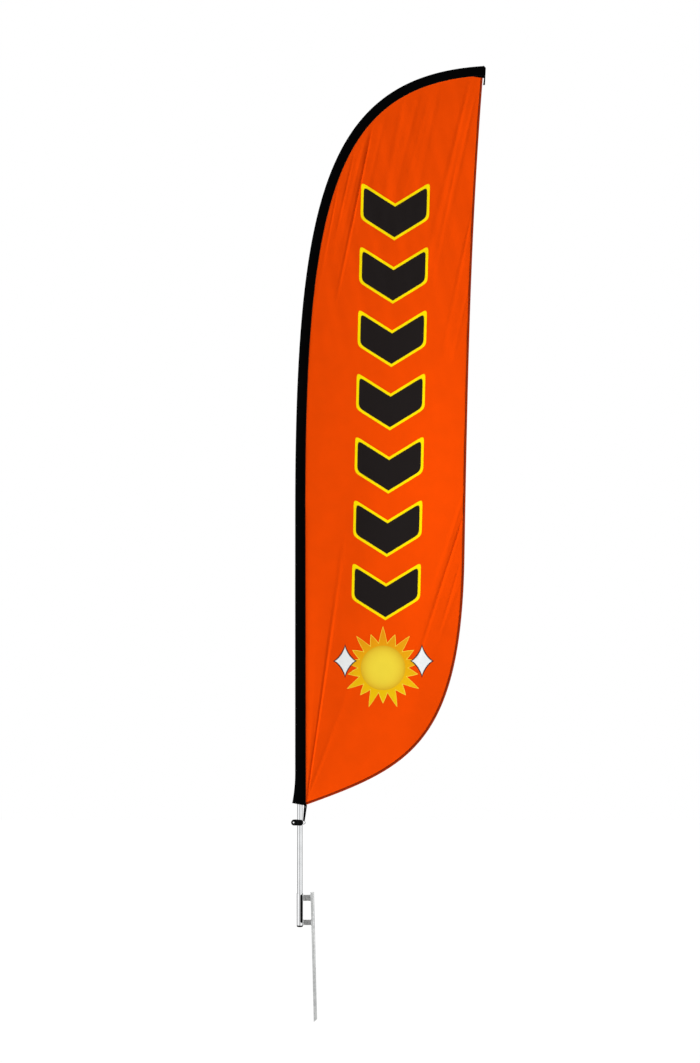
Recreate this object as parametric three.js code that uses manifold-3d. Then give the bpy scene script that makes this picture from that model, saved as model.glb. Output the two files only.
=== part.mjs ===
// A feather flag on its bent pole, standing in a swivelling ground stake.
// Millimetres, +Z up. The origin is where the spike enters the ground, the flag
// flies towards +X and its printed face looks along -Y.
import * as THREE from 'three';
import { mergeVertices } from 'three/addons/utils/BufferGeometryUtils.js';
import Module from 'manifold-3d';

const wasm = await Module();
wasm.setup();

// ---- Driving dimensions ----

const fitGap = 0.3; // left between two pieces that touch

// Ground stake
const spikeRadius = 8;
const spikeAboveGround = 166;
const spikeBelowGround = 450;
const spikeLean = THREE.MathUtils.degToRad(1.4);
const spikeCutSlope = THREE.MathUtils.degToRad(40);
const poleOffset = 63; // from the spike to the pole, at the ground
const receiverTop = 160;
const receiverWall = 1.1;
const capHeight = 8; // the part of the cap below the receiver
const capCorner = 6;
const capPlugDepth = 8;
const slotWidth = 13;
const slotEndMargin = 4; // from the receiver's top and from its cap's plug to the slot
const slotAngle = THREE.MathUtils.degToRad(36); // from the front, towards the spike
const upperBarHeight = 28;
const upperBarCentre = 138.5;
const lowerBarHeight = 25;
const lowerBarCentre = 22;
const barThickness = 6;
const linerWall = 0.6;

// Pole
const lowerPoleRadius = 12.5;
const lowerPoleWall = 1.3;
const lowerPoleTop = 1016;
const middlePoleWall = 1.2;
const middlePoleTop = 1962; // the pole bends from here up
const poleOverlap = 100; // of the middle pole in the lower pole
const footPlugFlange = 2;
const footPlugDepth = 14;
const collarHeight = 12;
const whipRadius = 7; // at its foot
const whipJointRadius = 5;
const whipTipRadius = 3;
const whipPlugDepth = 80; // of the whip in the middle pole
const bushFlange = 3;
const ferruleWall = 1;
const ferruleOnBase = 40;
const ferruleOnTip = 50;

// The line of the bent pole
const bendHeight = 2100; // from the middle pole's top to the tip
const bendReach = 846; // from the straight pole to the tip
const tipRise = THREE.MathUtils.degToRad(4.5); // the tip's climb above level
const bendFootPull = 1484; // how long the bend keeps the direction of its foot
const bendTipPull = 710; // and that of its tip
const straightTip = 20; // straight end of the whip past the bend

// Tip cap
const tipCapWall = 1.7;
const tipCapDepth = 20;
const tipCapEnd = 6;

// Flag
const sleeveStart = 582;
const sleeveSlant = 0.18; // fall of the sleeve's lower edge towards the flag
const sleeveWall = 1.2;
const sleeveEase = 1; // between the pole and the sleeve, front and back
const sleeveLeadingWidth = 22.5; // from the pole's axis forward
const sleeveTrailingWidth = 28; // from the pole's axis to the flag, at the foot
const sleeveTipWidth = 22.5;
const sleeveFlare = 15; // added to the leading side at the lower edge
const sleeveFlareHeight = 150;
const sleeveBlend = 60; // length over which the sleeve narrows past a step of the pole
const sleeveSides = 12;
const clothThickness = 0.5;
const hemWidth = 12;
const hemThickness = 1.2;
const cornerShare = 0.02; // of the trailing edge, over which the hem turns to meet the sleeve
const trailingHeight = 1748; // where the straight trailing edge turns into the round foot
const trailingReach = 781; // from the pole's axis to the trailing edge there
const trailingLean = THREE.MathUtils.degToRad(0.9);
const trailingTopPull = 760;
const trailingUpperPull = 684;
const trailingLowerPull = 883;
const trailingFootPull = 522;
const trailingTopLean = THREE.MathUtils.degToRad(4.6);
const trailingFootRise = THREE.MathUtils.degToRad(19.7);
const billow = 42; // of the cloth out of its plane
const flutter = 26; // of the trailing edge
const clothColumns = 8;
const rowPitch = 88; // along the pole
const bindingWidth = 10;
const bindingDrop = 46; // of the tip binding below the sleeve
const bindingThickness = 5;
const bindingRise = 3; // above the sleeve
const bindingChamfer = 13;
const bindingTaper = 1; // narrower at its foot
const bindingSweep = 9.5; // of its foot back towards the hem

// Pole clamp and tension strap
const clampCentre = 496;
const clampHeight = 28;
const clampWall = 3.7;
const earThickness = 14;
const earSlit = 1.2;
const screwStandOff = 3.8; // from the collar to the screw's axis
const tieHoleStep = 9.4; // from the screw's axis to the tie hole's
const tieHoleRadius = 3.75;
const earMargin = 11.8; // from the tie hole's axis to the ear's end
const screwRadius = 2;
const screwHeadRadius = 3.5;
const screwHeadHeight = 3;
const hexSocketRadius = 1.5;
const hexSocketDepth = 2;
const hookWireRadius = 1.2;
const hookRadius = 8;
const hookStandOff = 1; // from the collar to the centre of the hook's bend
const strapTopWidth = 13;
const strapFootWidth = 7;
const strapThickness = 2;
const strapTopInset = 1; // from the sleeve's edge to the strap's middle
const strapFootOutset = 0.5; // from the centre of the hook's bend
const eyeletRadius = 2.8;
const eyeletFlange = 4.6;
const eyeletFlangeThickness = 0.8;
const eyeletBore = 2;
const eyeletDrop = 7; // from the strap's top

const roundSides = 32;
const slimSides = 12;

// ---- Shared shapes ----

// A closed mesh with shared corners and no collapsed triangles.
function welded(geometry) {
  geometry.deleteAttribute('normal');
  geometry.deleteAttribute('uv');
  const merged = mergeVertices(geometry, 1e-4);
  const corners = [];
  const index = merged.index.array;
  for (let i = 0; i < index.length; i += 3) {
    const [a, b, c] = [index[i], index[i + 1], index[i + 2]];
    if (a !== b && b !== c && c !== a) corners.push(a, b, c);
  }
  merged.setIndex(corners);
  merged.computeVertexNormals();
  return merged;
}

function solid(geometry) {
  const merged = welded(geometry);
  return new wasm.Manifold(new wasm.Mesh({
    numProp: 3,
    vertProperties: new Float32Array(merged.attributes.position.array),
    triVerts: new Uint32Array(merged.index.array),
  }));
}

function surface(manifold) {
  const mesh = manifold.getMesh();
  const geometry = new THREE.BufferGeometry();
  geometry.setAttribute('position', new THREE.BufferAttribute(mesh.vertProperties, 3));
  geometry.setIndex(new THREE.BufferAttribute(mesh.triVerts, 1));
  geometry.computeVertexNormals();
  return geometry;
}

// A profile of [radius, height] points turned about the Z axis.
function turned(profile, sides = roundSides) {
  const points = profile.map(([radius, height]) => new THREE.Vector2(radius, height));
  return new THREE.LatheGeometry(points, sides).rotateX(Math.PI / 2);
}

function rod(radius, from, to, sides = roundSides) {
  return turned([[0, from], [radius, from], [radius, to], [0, to]], sides);
}

function tube(outer, inner, from, to, sides = roundSides) {
  return turned([[outer, from], [outer, to], [inner, to], [inner, from], [outer, from]], sides);
}

// A box given by its lowest and highest corners.
function block([x0, y0, z0], [x1, y1, z1]) {
  return new THREE.BoxGeometry(x1 - x0, y1 - y0, z1 - z0)
    .translate((x0 + x1) / 2, (y0 + y1) / 2, (z0 + z1) / 2);
}

// An outline drawn in X and Z, as thick as given, centred on Y = 0.
function plate(shape, thickness, curveSegments = 12) {
  return new THREE.ExtrudeGeometry(shape, { depth: thickness, bevelEnabled: false, curveSegments })
    .translate(0, 0, -thickness / 2)
    .rotateX(Math.PI / 2);
}

const root = new THREE.Group();

function addPiece(name, geometry, color, roughness, metalness) {
  const material = new THREE.MeshStandardMaterial({ color, roughness, metalness });
  const piece = new THREE.Mesh(welded(geometry), material);
  piece.name = name;
  root.add(piece);
  return piece;
}

const zinc = [0xb9bbb8, 0.35, 1];
const aluminium = [0xd4d6d8, 0.25, 1];
const blackNylon = [0x101010, 0.5, 0];
const blackCloth = [0x060606, 0.8, 0];
const orangeCloth = [0xea4800, 0.75, 0];
const fibreglass = [0xdcd9cf, 0.5, 0];

// ---- Ground stake: spike, receiver and the two bars that join them ----

const poleX = -poleOffset;
const linerInner = lowerPoleRadius + fitGap;
const linerOuter = linerInner + linerWall;
const receiverInner = linerOuter + fitGap;
const receiverOuter = receiverInner + receiverWall;
const capTop = capHeight + capPlugDepth;

// The rod leans about the origin, so that its foot is further from the pole.
function leaningRod(radius) {
  return rod(radius, -spikeBelowGround, spikeAboveGround).rotateY(-spikeLean);
}

// The foot is sheared off at a slope, with its point on the receiver's side.
function spike() {
  const footX = Math.sin(spikeLean) * spikeBelowGround;
  const reach = 8 * spikeRadius;
  const below = block([-reach, -reach, -reach], [reach, reach, 0])
    .rotateY(-spikeCutSlope)
    .translate(footX - spikeRadius, 0, -spikeBelowGround);
  return surface(solid(leaningRod(spikeRadius)).subtract(solid(below)));
}

// A flat bar on edge, coped at one end to the receiver and at the other to the spike.
function crossbar(centre, height) {
  const bar = block([poleX, -barThickness / 2, centre - height / 2],
    [0, barThickness / 2, centre + height / 2]);
  const receiver = rod(receiverOuter + fitGap, 0, receiverTop).translate(poleX, 0, 0);
  const coped = solid(bar)
    .subtract(solid(receiver))
    .subtract(solid(leaningRod(spikeRadius + fitGap)));
  return surface(coped);
}

// The receiver is open along one side, where the liner shows through a round-ended slot.
function receiver() {
  const wall = tube(receiverOuter, receiverInner, capHeight, receiverTop);
  const slotFoot = capTop + slotEndMargin + slotWidth / 2;
  const slotHead = receiverTop - slotEndMargin - slotWidth / 2;
  const outline = new THREE.Shape();
  outline.absarc(0, slotHead, slotWidth / 2, 0, Math.PI);
  outline.absarc(0, slotFoot, slotWidth / 2, Math.PI, 2 * Math.PI);
  const cutter = plate(outline, receiverOuter).translate(0, -receiverOuter, 0).rotateZ(slotAngle);
  return surface(solid(wall).subtract(solid(cutter)));
}

// The cap closes the receiver's foot: a plug inside it, a rounded edge and a flat underside.
function receiverCap() {
  const profile = [[0, 0], [receiverOuter - capCorner, 0]];
  const cornerSteps = 4;
  for (let i = 1; i <= cornerSteps; i += 1) {
    const turn = (i / cornerSteps) * (Math.PI / 2);
    profile.push([
      receiverOuter - capCorner + capCorner * Math.sin(turn),
      capCorner - capCorner * Math.cos(turn),
    ]);
  }
  const plugRadius = receiverInner - fitGap;
  profile.push([receiverOuter, capHeight - fitGap], [plugRadius, capHeight - fitGap]);
  profile.push([plugRadius, capTop], [0, capTop]);
  return turned(profile);
}

addPiece('spike_rod', spike(), ...zinc);
addPiece('upper_crossbar', crossbar(upperBarCentre, upperBarHeight), ...zinc);
addPiece('lower_crossbar', crossbar(lowerBarCentre, lowerBarHeight), ...zinc);
addPiece('receiver_tube', receiver().translate(poleX, 0, 0), ...zinc);
addPiece('receiver_cap', receiverCap().translate(poleX, 0, 0), ...blackNylon);
addPiece(
  'swivel_liner',
  tube(linerOuter, linerInner, capTop + fitGap, receiverTop - 1).translate(poleX, 0, 0),
  ...blackNylon,
);

// ---- The pole's line: straight to the middle pole's top, then one long bend ----

const bendFoot = new THREE.Vector3(poleX, 0, middlePoleTop);
const bendTip = new THREE.Vector3(poleX + bendReach, 0, middlePoleTop + bendHeight);
const bend = new THREE.CubicBezierCurve3(
  bendFoot,
  bendFoot.clone().add(new THREE.Vector3(0, 0, bendFootPull)),
  bendTip.clone().sub(
    new THREE.Vector3(Math.cos(tipRise), 0, Math.sin(tipRise)).multiplyScalar(bendTipPull),
  ),
  bendTip,
);
bend.arcLengthDivisions = 600;
const bendLength = bend.getLength();
const bendEnd = middlePoleTop + bendLength;
const whipEnd = bendEnd + straightTip;
const whipJoint = middlePoleTop + bendLength / 2;
const sleeveInnerEnd = whipEnd + tipCapEnd + fitGap;
const sleeveEnd = sleeveInnerEnd + sleeveWall;

// A place on the pole's line, and the direction across it to the flag's side.
// It is given by its length along the pole, which starts at the ground.
function poleAt(length) {
  if (length <= middlePoleTop) {
    return { centre: new THREE.Vector3(poleX, 0, length), across: new THREE.Vector3(1, 0, 0) };
  }
  const share = Math.min((length - middlePoleTop) / bendLength, 1);
  const tangent = bend.getTangentAt(share);
  const centre = bend.getPointAt(share);
  if (length > bendEnd) centre.addScaledVector(tangent, length - bendEnd);
  return { centre, across: new THREE.Vector3(tangent.z, 0, -tangent.x) };
}

// Rows at which every bent piece has its corners, so that their walls stay parallel.
const keyRows = [
  sleeveStart, sleeveStart + sleeveFlareHeight, lowerPoleTop, middlePoleTop,
  whipJoint - ferruleOnBase, whipJoint, whipJoint + fitGap, whipJoint + ferruleOnTip,
  whipEnd - tipCapDepth, whipEnd, whipEnd + tipCapEnd,
];

function rowsBetween(from, to) {
  const rows = keyRows.filter((row) => row > from && row < to);
  const nearKey = (row) => keyRows.some((key) => Math.abs(key - row) < rowPitch / 3);
  for (let row = sleeveStart + rowPitch; row < whipEnd; row += rowPitch) {
    if (row > from && row < to && !nearKey(row)) rows.push(row);
  }
  return [from, ...rows.sort((a, b) => a - b), to];
}

// Bends a piece that was made straight, about the Z axis, to the pole's line.
function bent(geometry) {
  const position = geometry.attributes.position;
  for (let i = 0; i < position.count; i += 1) {
    const { centre, across } = poleAt(position.getZ(i));
    centre.addScaledVector(across, position.getX(i));
    position.setXYZ(i, centre.x, position.getY(i), centre.z);
  }
  return geometry;
}

// ---- Lower and middle pole ----

const lowerPoleInner = lowerPoleRadius - lowerPoleWall;
const middlePoleRadius = lowerPoleInner - fitGap;
const middlePoleInner = middlePoleRadius - middlePoleWall;
const poleFoot = capTop + fitGap;
const lowerPoleFoot = poleFoot + footPlugFlange + fitGap;
const plugRadius = lowerPoleInner - fitGap;

addPiece('lower_pole', bent(tube(lowerPoleRadius, lowerPoleInner, lowerPoleFoot, lowerPoleTop)),
  ...aluminium);
addPiece(
  'pole_foot_plug',
  bent(turned([
    [0, poleFoot],
    [lowerPoleRadius, poleFoot],
    [lowerPoleRadius, poleFoot + footPlugFlange],
    [plugRadius, poleFoot + footPlugFlange],
    [plugRadius, lowerPoleFoot + footPlugDepth],
    [0, lowerPoleFoot + footPlugDepth],
  ])),
  ...blackNylon,
);
addPiece(
  'middle_pole',
  bent(tube(middlePoleRadius, middlePoleInner, lowerPoleTop - poleOverlap, middlePoleTop)),
  ...aluminium,
);
addPiece(
  'pole_collar',
  bent(tube(lowerPoleRadius, middlePoleRadius + fitGap, lowerPoleTop + fitGap,
    lowerPoleTop + collarHeight)),
  ...blackNylon,
);

// ---- Whip: two fibreglass rods, joined by a ferrule, and their bush and end cap ----

const bushInner = whipRadius + fitGap;
const bushOuter = middlePoleInner - fitGap;

addPiece(
  'whip_bush',
  bent(turned([
    [bushOuter, middlePoleTop - whipPlugDepth],
    [bushOuter, middlePoleTop + fitGap],
    [middlePoleRadius, middlePoleTop + fitGap],
    [middlePoleRadius, middlePoleTop + fitGap + bushFlange],
    [bushInner, middlePoleTop + fitGap + bushFlange],
    [bushInner, middlePoleTop - whipPlugDepth],
    [bushOuter, middlePoleTop - whipPlugDepth],
  ], slimSides)),
  ...blackNylon,
);

// A solid rod whose radius follows the length along the pole.
function taperedRod(from, to, radiusAt) {
  const walls = rowsBetween(from, to).map((row) => [radiusAt(row), row]);
  return bent(turned([[0, from], ...walls, [0, to]], slimSides));
}

function whipBaseRadius(length) {
  return THREE.MathUtils.mapLinear(
    THREE.MathUtils.clamp(length, middlePoleTop, whipJoint - ferruleOnBase),
    middlePoleTop, whipJoint - ferruleOnBase, whipRadius, whipJointRadius,
  );
}

function whipTipRadiusAt(length) {
  return THREE.MathUtils.mapLinear(
    THREE.MathUtils.clamp(length, whipJoint + ferruleOnTip, whipEnd - tipCapDepth),
    whipJoint + ferruleOnTip, whipEnd - tipCapDepth, whipJointRadius, whipTipRadius,
  );
}

addPiece('whip_base', taperedRod(middlePoleTop - whipPlugDepth, whipJoint, whipBaseRadius),
  ...fibreglass);
addPiece('whip_tip', taperedRod(whipJoint + fitGap, whipEnd, whipTipRadiusAt), ...fibreglass);

const ferruleInner = whipJointRadius + fitGap;
const ferruleOuter = ferruleInner + ferruleWall;
const ferruleRows = rowsBetween(whipJoint - ferruleOnBase, whipJoint + ferruleOnTip);
addPiece(
  'whip_ferrule',
  bent(turned([
    ...ferruleRows.map((row) => [ferruleOuter, row]),
    ...ferruleRows.toReversed().map((row) => [ferruleInner, row]),
    [ferruleOuter, ferruleRows[0]],
  ], slimSides)),
  ...aluminium,
);

const tipCapInner = whipTipRadius + fitGap;
const tipCapOuter = tipCapInner + tipCapWall;
addPiece(
  'tip_cap',
  bent(turned([
    [0, whipEnd + fitGap],
    [tipCapInner, whipEnd + fitGap],
    [tipCapInner, whipEnd - tipCapDepth],
    [tipCapOuter, whipEnd - tipCapDepth],
    [tipCapOuter, whipEnd],
    [tipCapOuter / 2, whipEnd + tipCapEnd],
    [0, whipEnd + tipCapEnd],
  ], slimSides)),
  ...blackNylon,
);

// ---- Pole sleeve: a pocket of stretch cloth, open at its foot and closed at the tip ----

// The radius of what lies inside the sleeve, falling over a short blend after each step.
function coreRadius(length) {
  const fall = (edge, before, after) => THREE.MathUtils.mapLinear(
    THREE.MathUtils.clamp(length, edge, edge + sleeveBlend), edge, edge + sleeveBlend,
    before, after,
  );
  if (length < middlePoleTop) {
    return fall(lowerPoleTop + collarHeight, lowerPoleRadius, middlePoleRadius);
  }
  const thin = THREE.MathUtils.mapLinear(length, middlePoleTop, sleeveEnd, whipRadius + ferruleWall,
    tipCapOuter);
  return Math.max(fall(middlePoleTop + bushFlange + fitGap, middlePoleRadius, 0), thin);
}

function leadingWidth(length) {
  const low = THREE.MathUtils.clamp((sleeveStart + sleeveFlareHeight - length) / sleeveFlareHeight,
    0, 1);
  return sleeveLeadingWidth + sleeveFlare * low * low;
}

function trailingWidth(length) {
  return THREE.MathUtils.mapLinear(length, sleeveStart, sleeveEnd, sleeveTrailingWidth,
    sleeveTipWidth);
}

// The solid inside one skin of the sleeve, which lies inset from its outer face.
function sleeveSkin(inset, from, to) {
  const rows = rowsBetween(from, to);
  const straight = turned([[0, from], ...rows.map((row) => [1, row]), [0, to]], sleeveSides);
  const position = straight.attributes.position;
  for (let i = 0; i < position.count; i += 1) {
    const [x, y, length] = [position.getX(i), position.getY(i), position.getZ(i)];
    const width = x > 0 ? trailingWidth(length) : leadingWidth(length);
    const depth = coreRadius(length) + sleeveEase + sleeveWall;
    const acrossPole = x * (width - inset);
    const slant = length <= sleeveStart ? sleeveSlant * acrossPole : 0;
    position.setXYZ(i, acrossPole, y * (depth - inset), length - slant);
  }
  return solid(bent(straight));
}

const sleeve = sleeveSkin(0, sleeveStart, sleeveEnd)
  .subtract(sleeveSkin(sleeveWall, sleeveStart - 2 * sleeveWall, sleeveInnerEnd));
addPiece('pole_sleeve', surface(sleeve), ...blackCloth);

// ---- Flag: one sheet between the sleeve and its hem ----

// The line on which the cloth meets the sleeve.
function sleeveSeam(length) {
  const { centre, across } = poleAt(length);
  return centre.addScaledVector(across, trailingWidth(length) + fitGap);
}

const hemFoot = sleeveStart - sleeveSlant * sleeveTrailingWidth + 2;
const hemHead = sleeveEnd - 6;
const upright = (lean) => new THREE.Vector3(Math.sin(lean), 0, Math.cos(lean));
const trailingFoot = sleeveSeam(hemFoot);
const trailingHead = sleeveSeam(hemHead);
const trailingKnee = new THREE.Vector3(poleX + trailingReach, 0, trailingHeight);
const footDirection = new THREE.Vector3(Math.cos(trailingFootRise), 0, Math.sin(trailingFootRise));
const trailingEdge = new THREE.CurvePath();
trailingEdge.add(new THREE.CubicBezierCurve3(
  trailingFoot,
  trailingFoot.clone().addScaledVector(footDirection, trailingFootPull),
  trailingKnee.clone().addScaledVector(upright(trailingLean), -trailingLowerPull),
  trailingKnee,
));
trailingEdge.add(new THREE.CubicBezierCurve3(
  trailingKnee,
  trailingKnee.clone().addScaledVector(upright(trailingLean), trailingUpperPull),
  trailingHead.clone().addScaledVector(upright(trailingTopLean), -trailingTopPull),
  trailingHead,
));

// How far the cloth stands out of its plane: across is 0 at the sleeve and 1 at the hem,
// and up is 0 at the foot and 1 at the tip.
function clothDepth(across, up) {
  const belly = billow * Math.sin(Math.PI * across);
  const wave = flutter * across * across * Math.sin(3 * Math.PI * up);
  return Math.sin(Math.PI * up) * (belly + wave);
}

// A point inset from the trailing edge. Near both ends the inset turns until it lies
// along the sleeve's seam.
function edgePoint(up, inset) {
  if (up <= 0) return sleeveSeam(hemFoot + inset);
  if (up >= 1) return sleeveSeam(hemHead - inset);
  const tangent = trailingEdge.getTangent(up);
  const inward = new THREE.Vector3(-tangent.z, 0, tangent.x);
  const alongFoot = sleeveSeam(hemFoot + inset).sub(trailingFoot).normalize();
  const alongHead = sleeveSeam(hemHead - inset).sub(trailingHead).normalize();
  inward.lerp(alongFoot, Math.max(0, 1 - up / cornerShare));
  inward.lerp(alongHead, Math.max(0, 1 - (1 - up) / cornerShare));
  return trailingEdge.getPoint(up).addScaledVector(inward.normalize(), inset);
}

// A sheet of the given thickness. pointAt gives its middle for the share across it, the row
// up it and the row's share of the height.
function sheet(columns, rows, thickness, pointAt) {
  const geometry = new THREE.BoxGeometry(1, 1, 1, columns, 1, rows.length - 1);
  const position = geometry.attributes.position;
  for (let i = 0; i < position.count; i += 1) {
    const across = position.getX(i) + 0.5;
    const row = rows[Math.round((position.getZ(i) + 0.5) * (rows.length - 1))];
    const point = pointAt(across, row);
    position.setXYZ(i, point.x, point.y + position.getY(i) * thickness, point.z);
  }
  return geometry;
}

const clothInset = hemWidth + fitGap;
const clothFoot = hemFoot + clothInset;
const clothHead = hemHead - clothInset;
const clothRows = rowsBetween(clothFoot + fitGap, clothHead - fitGap)
  .filter((row) => Math.abs(row - whipJoint - fitGap) > 1e-6);
const upFlag = (row) => (row - clothFoot) / (clothHead - clothFoot);

const flagCloth = sheet(clothColumns, clothRows, clothThickness, (across, row) => {
  const up = upFlag(row);
  const trailing = edgePoint(up, clothInset);
  const point = sleeveSeam(row).lerp(trailing, across);
  point.y = clothDepth(across, up);
  return point;
});
addPiece('flag_panel', flagCloth, ...orangeCloth);

const hemRows = [clothFoot, ...clothRows, clothHead];
const hem = sheet(1, hemRows, hemThickness, (across, row) => {
  const up = upFlag(row);
  const point = edgePoint(up, hemWidth).lerp(edgePoint(up, 0), across);
  point.y = clothDepth(1, up);
  return point;
});
addPiece('trailing_hem', hem, ...orangeCloth);

// The binding is folded over the end of the sleeve and hangs down beside the hem.
function tipBinding() {
  const start = sleeveEnd + fitGap;
  const top = -leadingWidth(sleeveEnd) - bindingRise;
  const corner = trailingWidth(sleeveEnd) + fitGap;
  const foot = trailingWidth(sleeveEnd) + bindingDrop;
  const outline = new THREE.Shape();
  outline.moveTo(corner, start);
  outline.lineTo(foot, start - bindingSweep);
  outline.lineTo(foot, start - bindingSweep + bindingWidth - bindingTaper);
  outline.lineTo(top + bindingChamfer, start + bindingWidth);
  outline.lineTo(top, start);
  outline.closePath();
  return bent(plate(outline, bindingThickness));
}
addPiece('tip_binding', tipBinding(), ...blackCloth);

// ---- Pole clamp: a split collar with two ears, its pinch screw and its wire hook ----

const clampBore = lowerPoleRadius + fitGap;
const clampOuter = clampBore + clampWall;
const clampEnd = clampHeight / 2; // radius of its round ends, seen from the front
const screwReach = clampOuter + screwStandOff; // these reach from the pole's axis
const tieHoleReach = screwReach + tieHoleStep;
const earReach = tieHoleReach + earMargin;
const hookReach = clampOuter + hookStandOff;

function alongY(geometry) {
  return geometry.rotateX(Math.PI / 2);
}

function clampBody() {
  const front = new THREE.Shape();
  front.absarc(clampEnd - earReach, 0, clampEnd, Math.PI / 2, 1.5 * Math.PI);
  front.absarc(clampOuter - clampEnd, 0, clampEnd, -Math.PI / 2, Math.PI / 2);
  const collar = solid(rod(clampOuter, -clampHeight, clampHeight));
  const ears = solid(block([-earReach, -earThickness / 2, -clampHeight],
    [0, earThickness / 2, clampHeight]));
  const bore = solid(rod(clampBore, -clampHeight, clampHeight));
  const slit = solid(block([-2 * earReach, -earSlit / 2, -clampHeight],
    [0, earSlit / 2, clampHeight]));
  const tieHole = solid(alongY(rod(tieHoleRadius, -clampHeight, clampHeight, 16))
    .translate(-tieHoleReach, 0, 0));
  const seatDepth = earThickness / 2 - screwHeadHeight - fitGap;
  const screwHole = solid(alongY(turned([
    [0, -clampHeight],
    [screwHeadRadius + fitGap, -clampHeight],
    [screwHeadRadius + fitGap, -seatDepth],
    [screwRadius + fitGap, -seatDepth],
    [screwRadius + fitGap, seatDepth],
    [screwHeadRadius + fitGap, seatDepth],
    [screwHeadRadius + fitGap, clampHeight],
    [0, clampHeight],
  ], 16)).translate(-screwReach, 0, 0));
  return surface(solid(plate(front, 2 * clampOuter, 10))
    .intersect(collar.add(ears))
    .subtract(bore).subtract(slit).subtract(tieHole).subtract(screwHole));
}

// The screw lies across the ears, with its socket head at the front and a nut at the back.
const headSeat = earThickness / 2 - screwHeadHeight;

function clampScrew() {
  const socket = turned([
    [0, headSeat + screwHeadHeight - hexSocketDepth],
    [hexSocketRadius, headSeat + screwHeadHeight - hexSocketDepth],
    [hexSocketRadius, clampHeight],
    [0, clampHeight],
  ], 6);
  const body = turned([
    [0, -headSeat - screwHeadHeight],
    [screwRadius, -headSeat - screwHeadHeight],
    [screwRadius, headSeat],
    [screwHeadRadius, headSeat],
    [screwHeadRadius, headSeat + screwHeadHeight],
    [0, headSeat + screwHeadHeight],
  ], 16);
  return alongY(surface(solid(body).subtract(solid(socket))));
}

function clampNut() {
  const bore = (screwRadius + fitGap) / Math.cos(Math.PI / 6); // clears the screw at its flats
  return alongY(tube(screwHeadRadius, bore, -headSeat - screwHeadHeight, -headSeat, 6));
}

// The hook is a bow of wire on the collar's end. Its two legs meet the round end.
function clampHook() {
  const legStart = clampOuter - clampEnd + fitGap
    + Math.sqrt(clampEnd ** 2 - (hookRadius - hookWireRadius) ** 2);
  const path = new THREE.CurvePath();
  const top = (x) => new THREE.Vector3(x, 0, hookRadius);
  const foot = (x) => new THREE.Vector3(x, 0, -hookRadius);
  path.add(new THREE.LineCurve3(top(legStart), top(hookReach)));
  const bow = new THREE.EllipseCurve(hookReach, 0, hookRadius, hookRadius, Math.PI / 2,
    -Math.PI / 2, true);
  const bowPoints = bow.getPoints(12).map((point) => new THREE.Vector3(point.x, 0, point.y));
  for (let i = 1; i < bowPoints.length; i += 1) {
    path.add(new THREE.LineCurve3(bowPoints[i - 1], bowPoints[i]));
  }
  path.add(new THREE.LineCurve3(foot(hookReach), foot(legStart)));
  const section = new THREE.Shape();
  section.absarc(0, 0, hookWireRadius, 0, 2 * Math.PI);
  return new THREE.ExtrudeGeometry(section, {
    extrudePath: path, steps: 28, bevelEnabled: false, curveSegments: 4,
  });
}

function placeOnPole(geometry) {
  return geometry.translate(poleX, 0, clampCentre);
}

addPiece('clamp_body', placeOnPole(clampBody()), ...blackNylon);
addPiece('clamp_screw', placeOnPole(clampScrew().translate(-screwReach, 0, 0)), ...zinc);
addPiece('clamp_nut', placeOnPole(clampNut().translate(-screwReach, 0, 0)), ...zinc);
addPiece('clamp_hook', placeOnPole(clampHook()), ...blackNylon);

// ---- Tension strap: from the sleeve's lower corner to the clamp's hook ----

const strapTopReach = sleeveTrailingWidth - strapTopInset;
const strapFootReach = hookReach + strapFootOutset;
const strapTop = sleeveStart - sleeveSlant * sleeveTrailingWidth - 2 * fitGap;
const strapFoot = clampCentre + hookRadius + hookWireRadius + fitGap;
const eyeletHeight = strapTop - eyeletDrop;
const eyeletReach = THREE.MathUtils.mapLinear(eyeletHeight, strapFoot, strapTop, strapFootReach,
  strapTopReach);

function strap() {
  const outline = new THREE.Shape();
  outline.moveTo(strapFootReach - strapFootWidth / 2, strapFoot);
  outline.lineTo(strapFootReach + strapFootWidth / 2, strapFoot);
  outline.lineTo(strapTopReach + strapTopWidth / 2, strapTop);
  outline.lineTo(strapTopReach - strapTopWidth / 2, strapTop);
  outline.closePath();
  const hole = alongY(rod(eyeletRadius + fitGap, -strapThickness, strapThickness, 16))
    .translate(eyeletReach, 0, eyeletHeight);
  return surface(solid(plate(outline, strapThickness)).subtract(solid(hole)));
}

function eyelet() {
  const neck = strapThickness / 2 + fitGap;
  const face = neck + eyeletFlangeThickness;
  return alongY(turned([
    [eyeletFlange, -face], [eyeletFlange, -neck], [eyeletRadius, -neck], [eyeletRadius, neck],
    [eyeletFlange, neck], [eyeletFlange, face], [eyeletBore, face], [eyeletBore, -face],
    [eyeletFlange, -face],
  ], 16)).translate(eyeletReach, 0, eyeletHeight);
}

addPiece('tension_strap', strap().translate(poleX, 0, 0), ...blackCloth);
addPiece('strap_eyelet', eyelet().translate(poleX, 0, 0), ...zinc);

export default root;
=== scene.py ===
import math
import random
from bisect import bisect_right

import bmesh
import bpy
from mathutils import Matrix, Vector


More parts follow.
